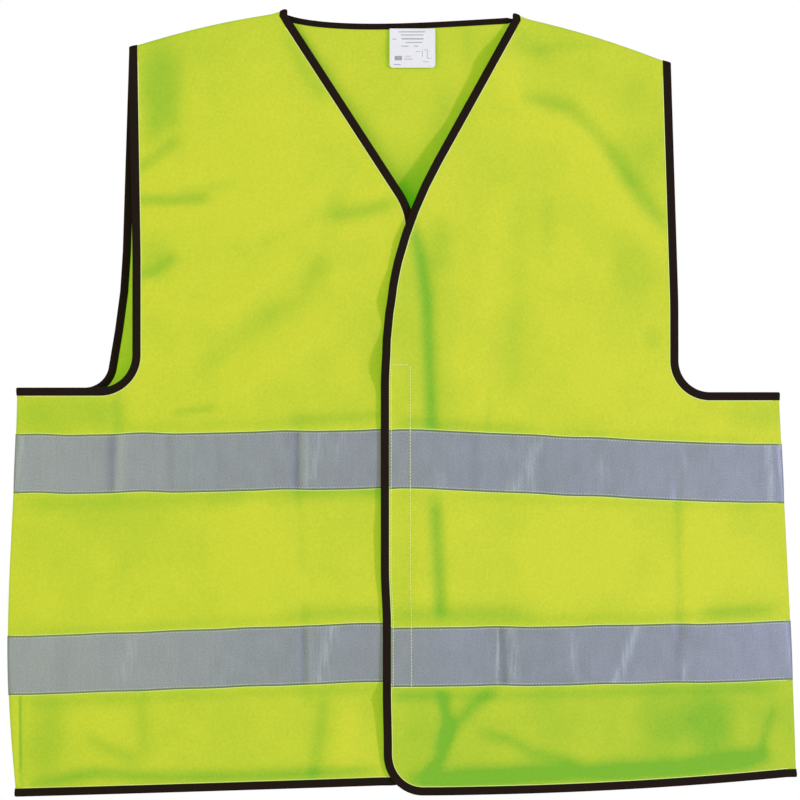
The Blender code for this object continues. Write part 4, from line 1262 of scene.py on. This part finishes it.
def makeStitches(name, rows, material, look=stitch):
    # rows are (side, path, out): one stitch for each pitch of the path
    points, faces = [], []
    sides = look["sides"]
    turns = np.arange(sides) * 2 * math.pi / sides
    shares = np.array([-1.0, -0.55, 0.55, 1.0])
    fat = np.array([0.35, 1.0, 1.0, 0.35])
    for side, path, outOf in rows:
        line = np.array([tuple(p) for p in path])
        steps = np.linalg.norm(np.diff(line, axis=0), axis=1)
        run = np.concatenate([[0], np.cumsum(steps)])
        middles = np.arange(look["pitch"] * 0.6, run[-1] - look["pitch"] * 0.5, look["pitch"])
        at = middles[:, None] + shares * look["length"] / 2
        u, z = np.interp(at, run, line[:, 0]), np.interp(at, run, line[:, 1])
        du, dz = u[:, -1:] - u[:, :1], z[:, -1:] - z[:, :1]
        size = np.hypot(du, dz)
        radius = look["radius"] * fat
        sideways = radius[None, :, None] * np.cos(turns)
        uu = u[..., None] - (dz / size)[..., None] * sideways
        zz = z[..., None] + (du / size)[..., None] * sideways
        rise = look["radius"] * (0.55 - 0.7 * np.abs(shares) ** 3)
        out = outOf(u, z)[..., None] + rise[None, :, None] + radius[None, :, None] * np.sin(turns)
        placed = placer(side)(uu, zz, out).reshape(-1, 3)
        start = len(points) and sum(len(p) for p in points)
        points.append(placed)
        for k in range(len(middles)):
            first = start + k * 4 * sides
            for ring in range(3):
                for c in range(sides):
                    d = (c + 1) % sides
                    a, b = first + ring * sides, first + (ring + 1) * sides
                    faces.append((a + c, b + c, b + d, a + d))
            faces.append(tuple(first + c for c in range(sides)))
            faces.append(tuple(first + 3 * sides + c for c in reversed(range(sides))))
    piece = makePiece(name, np.concatenate(points), faces, material)
    faceOut(piece)
    smoothShade(piece, 60)
    return piece


def makeRidges(name, rows, material, look=ridge):
    # rows are (side, path, out): one thin cord of cloth along each path, raised in shape and painted paler
    # as a highlight
    points, faces = [], []
    sides = look["sides"]
    turns = np.arange(sides) * 2 * math.pi / sides
    for side, path, out in rows:
        into = inwardAt(path)
        line = np.array([tuple(p) for p in path])
        across = np.array([tuple(d.normalized()) for d in into])
        u = line[:, :1] + across[:, :1] * look["radius"] * np.cos(turns)
        z = line[:, 1:] + across[:, 1:] * look["radius"] * np.cos(turns)
        placed = placer(side)(u, z, out + look["radius"] * np.sin(turns)[None, :]).reshape(-1, 3)
        start = sum(len(p) for p in points)
        points.append(placed)
        for k in range(len(path) - 1):
            a, b = start + k * sides, start + (k + 1) * sides
            faces += [(a + c, a + (c + 1) % sides, b + (c + 1) % sides, b + c) for c in range(sides)]
        faces.append(tuple(start + c for c in reversed(range(sides))))
        faces.append(tuple(start + (len(path) - 1) * sides + c for c in range(sides)))
    piece = makePiece(name, np.concatenate(points), faces, material)
    faceOut(piece)
    smoothShade(piece, 60)
    return piece


def shifted(path, depth):
    return [p + d * depth for p, d in zip(path, inwardAt(path))]


def lineAlong(topOf, low, high, drop, gap=0.003):
    return [Vector((u, float(topOf(u)) - drop)) for u in along(low, high, gap)]


def tapeSpan(side, line):
    if side == "back":
        return (-halfWidth("right", backLineZ(line, -cut["hemHalf"])) + 0.0005,
                halfWidth("left", backLineZ(line, cut["hemHalf"])) - 0.0005)
    end = halfWidth(side, lineZ(side, line, cut["hemHalf"]))
    return frontEdgeU(side) + binding["reach"] + 0.0008, end - 0.0005


def topLine(side, line):
    if side == "back":
        return lambda x: backLineZ(line, x)
    return lambda u: lineZ(side, line, u)


def fixedOut(value):
    return lambda u, z: np.full(np.shape(u), value)


seamIn = 0.0019  # stitch row to the tape's edge
tapeStitches = {}
for (side, level), _ in tapes.items():
    low, high = tapeSpan(side, level + "Tape")
    top = topLine(side, level + "Tape")
    rows = [(side, lineAlong(top, low, high, drop), fixedOut(layer["onTape"]))
            for drop in (seamIn, cut["tapeWidth"] - seamIn)]
    name = f"{level}_{side}_band_stitching"
    tapeStitches[side, level] = makeStitches(name, rows, paleThread)

ridges = {}
ridgeOut = layer["clothHalf"] + 0.00012
for side in ("left", "right", "back"):
    rows = []
    for level in ("upper", "lower"):
        low, high = tapeSpan(side, level + "Tape")
        top = topLine(side, level + "Tape")
        for drop in (-ridge["past"], cut["tapeWidth"] + ridge["past"]):
            rows.append((side, lineAlong(top, low, high, drop), ridgeOut))
    past = binding["reach"] + ridge["past"]
    if side == "back":
        low, high = (-cut["hemHalf"] + 0.006, cut["hemHalf"] - 0.006)
        hem = lineAlong(lambda x: backLineZ("hem", x, cut["backHemRise"]), low, high, -past)
        rows.append((side, hem, ridgeOut))
        for own in settle:
            path = spaced(armholePath(own, "back"), ridge["gap"])
            path = shifted(path, past)[1:-3]
            if own == "right":
                path = [Vector((-p.x, p.y)) for p in path]
            rows.append((side, path, ridgeOut))
    else:
        whole = spaced(joined([neckPath(side), hemPath(side)]), ridge["gap"])
        rows.append((side, shifted(whole, past)[3:-2], ridgeOut))
        rows.append((side, shifted(spaced(armholePath(side, "front"), ridge["gap"]), past)[1:-3], ridgeOut))
    ridges[side] = makeRidges(f"{side}_edge_ridges", rows, ridgeHighlight)
print("tapes stitched")

# The closure: a hook strip under the left front and a loop strip on the right, sewn at both edges

closure = {
    "width": 0.0195,
    "top": -0.296,
    "bottom": -0.572,
    "hookThick": 0.0008,
    "loopThick": 0.0008,
    "seamIn": 0.0017,
}


def makeStrip(name, side, middle, thick, material, gap=0.003):
    low = frontEdgeU(side) + binding["reach"] + 0.0003
    us = np.array(along(low, low + closure["width"], gap))[:, None]
    zs = np.array(along(closure["top"], closure["bottom"], gap))[None, :]
    u, z = np.broadcast_arrays(us, zs)
    points = placer(side)(u, z, middle)
    piece = makePiece(name, points, gridFaces(*u.shape), material, np.stack([u, z], -1))
    applyTo(piece, "SOLIDIFY", thickness=thick, offset=0)
    applyTo(piece, "BEVEL", width=0.0002, segments=2, limit_method="ANGLE")
    smoothShade(piece)
    return piece


def closureRows(side, outOf):
    low = frontEdgeU(side) + binding["reach"] + 0.0003
    ends = closure["top"] - 0.0015, closure["bottom"] + 0.0015
    rows = [low + closure["seamIn"], low + closure["width"] - closure["seamIn"]]
    lines = [[Vector((u, z)) for z in along(ends[0], ends[1], 0.003)] for u in rows]
    lines.append([Vector((u, ends[0])) for u in along(rows[0], rows[1], 0.003)])
    lines.append([Vector((u, ends[1])) for u in along(rows[0], rows[1], 0.003)])
    return [(side, line, outOf) for line in lines]


def overTapes(side):
    # where thread on the outside lies: on the cloth, or on a tape
    def outOf(u, z):
        out = np.full(np.shape(u), layer["onCloth"])
        for line in ("upperTape", "lowerTape"):
            top = lineZ(side, line, u)
            out = np.where((z < top) & (z > top - cut["tapeWidth"]), layer["onTape"], out)
        return out
    return outOf


hookMiddle = -(layer["clothHalf"] + 0.0001 + closure["hookThick"] / 2)
loopMiddle = layer["onTape"] + closure["loopThick"] / 2
hookStrip = makeStrip("hook_tape", "left", hookMiddle, closure["hookThick"], hookFinish)
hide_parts("hook_strip")
loopStrip = makeStrip("loop_tape", "right", loopMiddle, closure["loopThick"], loopFinish)
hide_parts("loop_strip")
leftRows = closureRows("left", overTapes("left"))
leftClosureStitches = makeStitches("left_closure_stitching", leftRows, closureThread,
                                   closureStitch)
rightRows = closureRows("right", fixedOut(loopMiddle + closure["loopThick"] / 2))
rightClosureStitches = makeStitches("right_closure_stitching", rightRows, closureThread,
                                    closureStitch)
print("closure sewn")

# Seam allowances, standing between front and back

seam = {"allowance": 0.006, "past": 0.0015, "thick": 0.0012, "clear": 0.0073, "gap": 0.004, "shade": 0.35}


def makeSeam(node, points, thick):
    # points are pairs of corners (inner, outer) along the seam, in the row frame
    inner, outer = np.array([p[0] for p in points]), np.array([p[1] for p in points])
    shares = np.linspace(0, 1, 4)[None, :, None]
    middle = inner[:, None, :] * (1 - shares) + outer[:, None, :] * shares
    count, rows, _ = middle.shape
    ripple = 0.00025 * np.sin(np.arange(count) * 1.7)[:, None] * (1 - shares[..., 0])
    middle[..., 1] += ripple
    flat = np.stack(np.broadcast_arrays(np.arange(count)[:, None] * seam["gap"], shares[..., 0] * 0.007), -1)
    # painted shade all over the allowance, which stands between front and back
    shade = np.full(count * rows, seam["shade"])
    piece = makePiece(node + "_allowance", middle, gridFaces(count, rows), clothFinish,
                      flat, {"shade": shade})
    applyTo(piece, "SOLIDIFY", thickness=thick, offset=0)
    smoothShade(piece)
    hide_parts(node)
    return piece


seams = []
for side in ("left", "right"):
    sign = settle[side]["sign"]
    us = along(cut["neckHalf"] + seam["clear"], cut["shoulderHalf"] - seam["clear"], seam["gap"])
    rows = []
    for u in us:
        top = shoulderZ(side, u)
        rows.append(((u * sign, 0, top - seam["allowance"]), (u * sign, 0, top + seam["past"])))
    seams.append(makeSeam(side + "_shoulder_seam", rows, seam["thick"]))
    bottom = lineZ(side, "hem", cut["hemHalf"]) + seam["clear"] + 0.001
    zs = along(underarmZ(side) - seam["clear"], bottom, seam["gap"])
    rows = []
    for z in zs:
        edge = halfWidth(side, z)
        rows.append((((edge - seam["allowance"]) * sign, 0, z), ((edge + seam["past"]) * sign, 0, z)))
    seams.append(makeSeam(side + "_side_seam", rows, seam["thick"]))
print("seams sewn")

# Care label, with grey bars in place of print

label = {"corner": 0.0028, "thick": 0.00030, "print": 0.00004, "curl": 0.0004, "gap": 0.0022}
# print bars: (left, top, width, height) as shares of the label
labelBars = [
    (0.20, 0.075, 0.58, 0.022), (0.24, 0.155, 0.50, 0.022), (0.06, 0.262, 0.09, 0.016),
    (0.26, 0.250, 0.48, 0.030), (0.35, 0.345, 0.37, 0.020), (0.26, 0.440, 0.16, 0.020),
    (0.53, 0.440, 0.10, 0.020), (0.57, 0.580, 0.10, 0.014), (0.11, 0.700, 0.16, 0.110),
    (0.34, 0.700, 0.12, 0.014), (0.32, 0.770, 0.18, 0.018), (0.10, 0.910, 0.14, 0.022),
    (0.83, 0.750, 0.09, 0.012), (0.72, 0.840, 0.14, 0.012), (0.74, 0.540, 0.09, 0.012),
    (0.71, 0.560, 0.012, 0.16), (0.82, 0.560, 0.012, 0.20),
]


def makeLabel():
    low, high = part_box("care_label")
    middle = (low.y + high.y) / 2
    r = label["corner"]
    corners = [(low.x, high.z), (low.x, low.z), (high.x, low.z), (high.x, high.z)]
    outline = spaced(rounded(corners, [r, r], math.radians(15)), label["gap"])
    outline += spaced([outline[-1], outline[0]], label["gap"])[1:-1]

    def place(x, z, out):
        share = (high.z - z) / (high.z - low.z)
        bow = label["curl"] * np.sin(share * 2.6) * (0.6 + 0.4 * np.sin((x - low.x) * 140))
        return np.stack(np.broadcast_arrays(x, middle - bow * ease(share / 0.2) - out, z), -1)

    piece = makeSheet("label_patch", outline, place, labelFinish, label["gap"], label["thick"])
    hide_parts("care_label")
    points, faces = [], []
    wide, tall = high.x - low.x, high.z - low.z
    for left, top, width, height in labelBars:
        columns = max(2, math.ceil(width * wide / 0.002))
        xs = low.x + (left + width * np.linspace(0, 1, columns)) * wide
        for z in (high.z - top * tall, high.z - (top + height) * tall):
            points.append(place(xs, np.full(xs.shape, z), label["thick"] / 2 + label["print"]))
        start = sum(len(p) for p in points) - 2 * columns
        for a in range(start, start + columns - 1):
            faces.append((a, a + columns, a + columns + 1, a + 1))
    bars = makePiece("label_print", np.concatenate(points), faces, printFinish)
    applyTo(bars, "SOLIDIFY", thickness=label["print"], offset=0)
    return piece, bars


labelPatch, labelPrint = makeLabel()
print("label made")

# What the back's pieces, the armhole bindings and the label ride on; the fronts' pieces only have their
# transforms baked

for piece in [back, *bindings["back"], *seams, ridges["back"], bindings["left"][1], bindings["right"][1]]:
    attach(piece, "garment")
for level in ("upper", "lower"):
    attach(tapes["back", level][0], "garment")
    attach(tapeStitches["back", level], "garment")
for piece in (labelPatch, labelPrint):
    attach(piece, "label")
fronts = {
    "left": [leftFront, bindings["left"][0], ridges["left"], hookStrip, leftClosureStitches],
    "right": [rightFront, bindings["right"][0], ridges["right"], loopStrip, rightClosureStitches],
}
for side, pieces in fronts.items():
    sign = settle[side]["sign"]
    for level in ("upper", "lower"):
        pieces += [tapes[side, level][0], tapeStitches[side, level]]
    for piece in pieces:
        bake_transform(piece)

low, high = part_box("care_label")

# Floor, light and camera

studio = {
    "floorZ": -0.80,
    "floorRadius": 3.0,
    "cameraAway": 12.0,
    "frameWidth": 0.680,
    "aimZ": -0.3274,
    "world": (0.50, 0.51, 0.36),
}


def makeFloor():
    bpy.ops.mesh.primitive_circle_add(vertices=96, radius=studio["floorRadius"], fill_type="NGON",
                                      location=(0, 0, studio["floorZ"]))
    floor = bpy.context.object
    floor.name = "studio_floor"
    material, _, _ = makeMaterial("paleFloor", (0.88, 0.88, 0.88), 0.9)
    floor.data.materials.append(material)


def addLight(name, place, size, watts, color=(1, 1, 1)):
    data = bpy.data.lights.new(name, "AREA")
    data.size = size
    data.energy = watts
    data.color = color
    lamp = bpy.data.objects.new(name, data)
    lamp.location = place
    aim = Vector((0, 0, studio["aimZ"])) - Vector(place)
    lamp.rotation_euler = aim.to_track_quat("-Z", "Y").to_euler()
    lamp.visible_camera = False
    bpy.context.scene.collection.objects.link(lamp)


def makeWorld():
    world = bpy.data.worlds.new("studio")
    bpy.context.scene.world = world
    world.use_nodes = True
    tree = world.node_tree
    light = tree.nodes["Background"]
    light.inputs["Color"].default_value = (*studio["world"], 1)
    seen = addNode(tree, "Background", {"Color": (1, 1, 1, 1), "Strength": 1.0})
    rays = addNode(tree, "LightPath")
    toCamera = rays.outputs["Is Camera Ray"]
    mix = addNode(tree, "MixShader", {0: toCamera, 1: light.outputs[0], 2: seen.outputs[0]})
    tree.links.new(mix.outputs[0], tree.nodes["World Output"].inputs["Surface"])


makeFloor()
makeWorld()
addLight("key", (3.1, -2.75, 0.75), 0.30, 112, (0.72, 0.64, 1.12))
addLight("fill", (-2.6, -3.2, 0.5), 2.6, 41, (1.38, 1.32, 0.92))
addLight("rear", (-1.2, 3.6, 1.2), 2.6, 75, (0.94, 0.97, 1.10))
camera = bpy.data.cameras.new("camera")
camera.sensor_width = 36
camera.lens = camera.sensor_width * studio["cameraAway"] / studio["frameWidth"]
camera.clip_start, camera.clip_end = 0.1, 60
cameraObject = bpy.data.objects.new("camera", camera)
cameraObject.location = (0, -studio["cameraAway"], studio["aimZ"])
cameraObject.rotation_euler = (math.pi / 2, 0, 0)
bpy.context.scene.collection.objects.link(cameraObject)
bpy.context.scene.camera = cameraObject
bpy.context.scene.view_settings.view_transform = "Standard"
bpy.context.scene.view_settings.look = "None"
bpy.ops.object.select_all(action="DESELECT")
print("studio set")
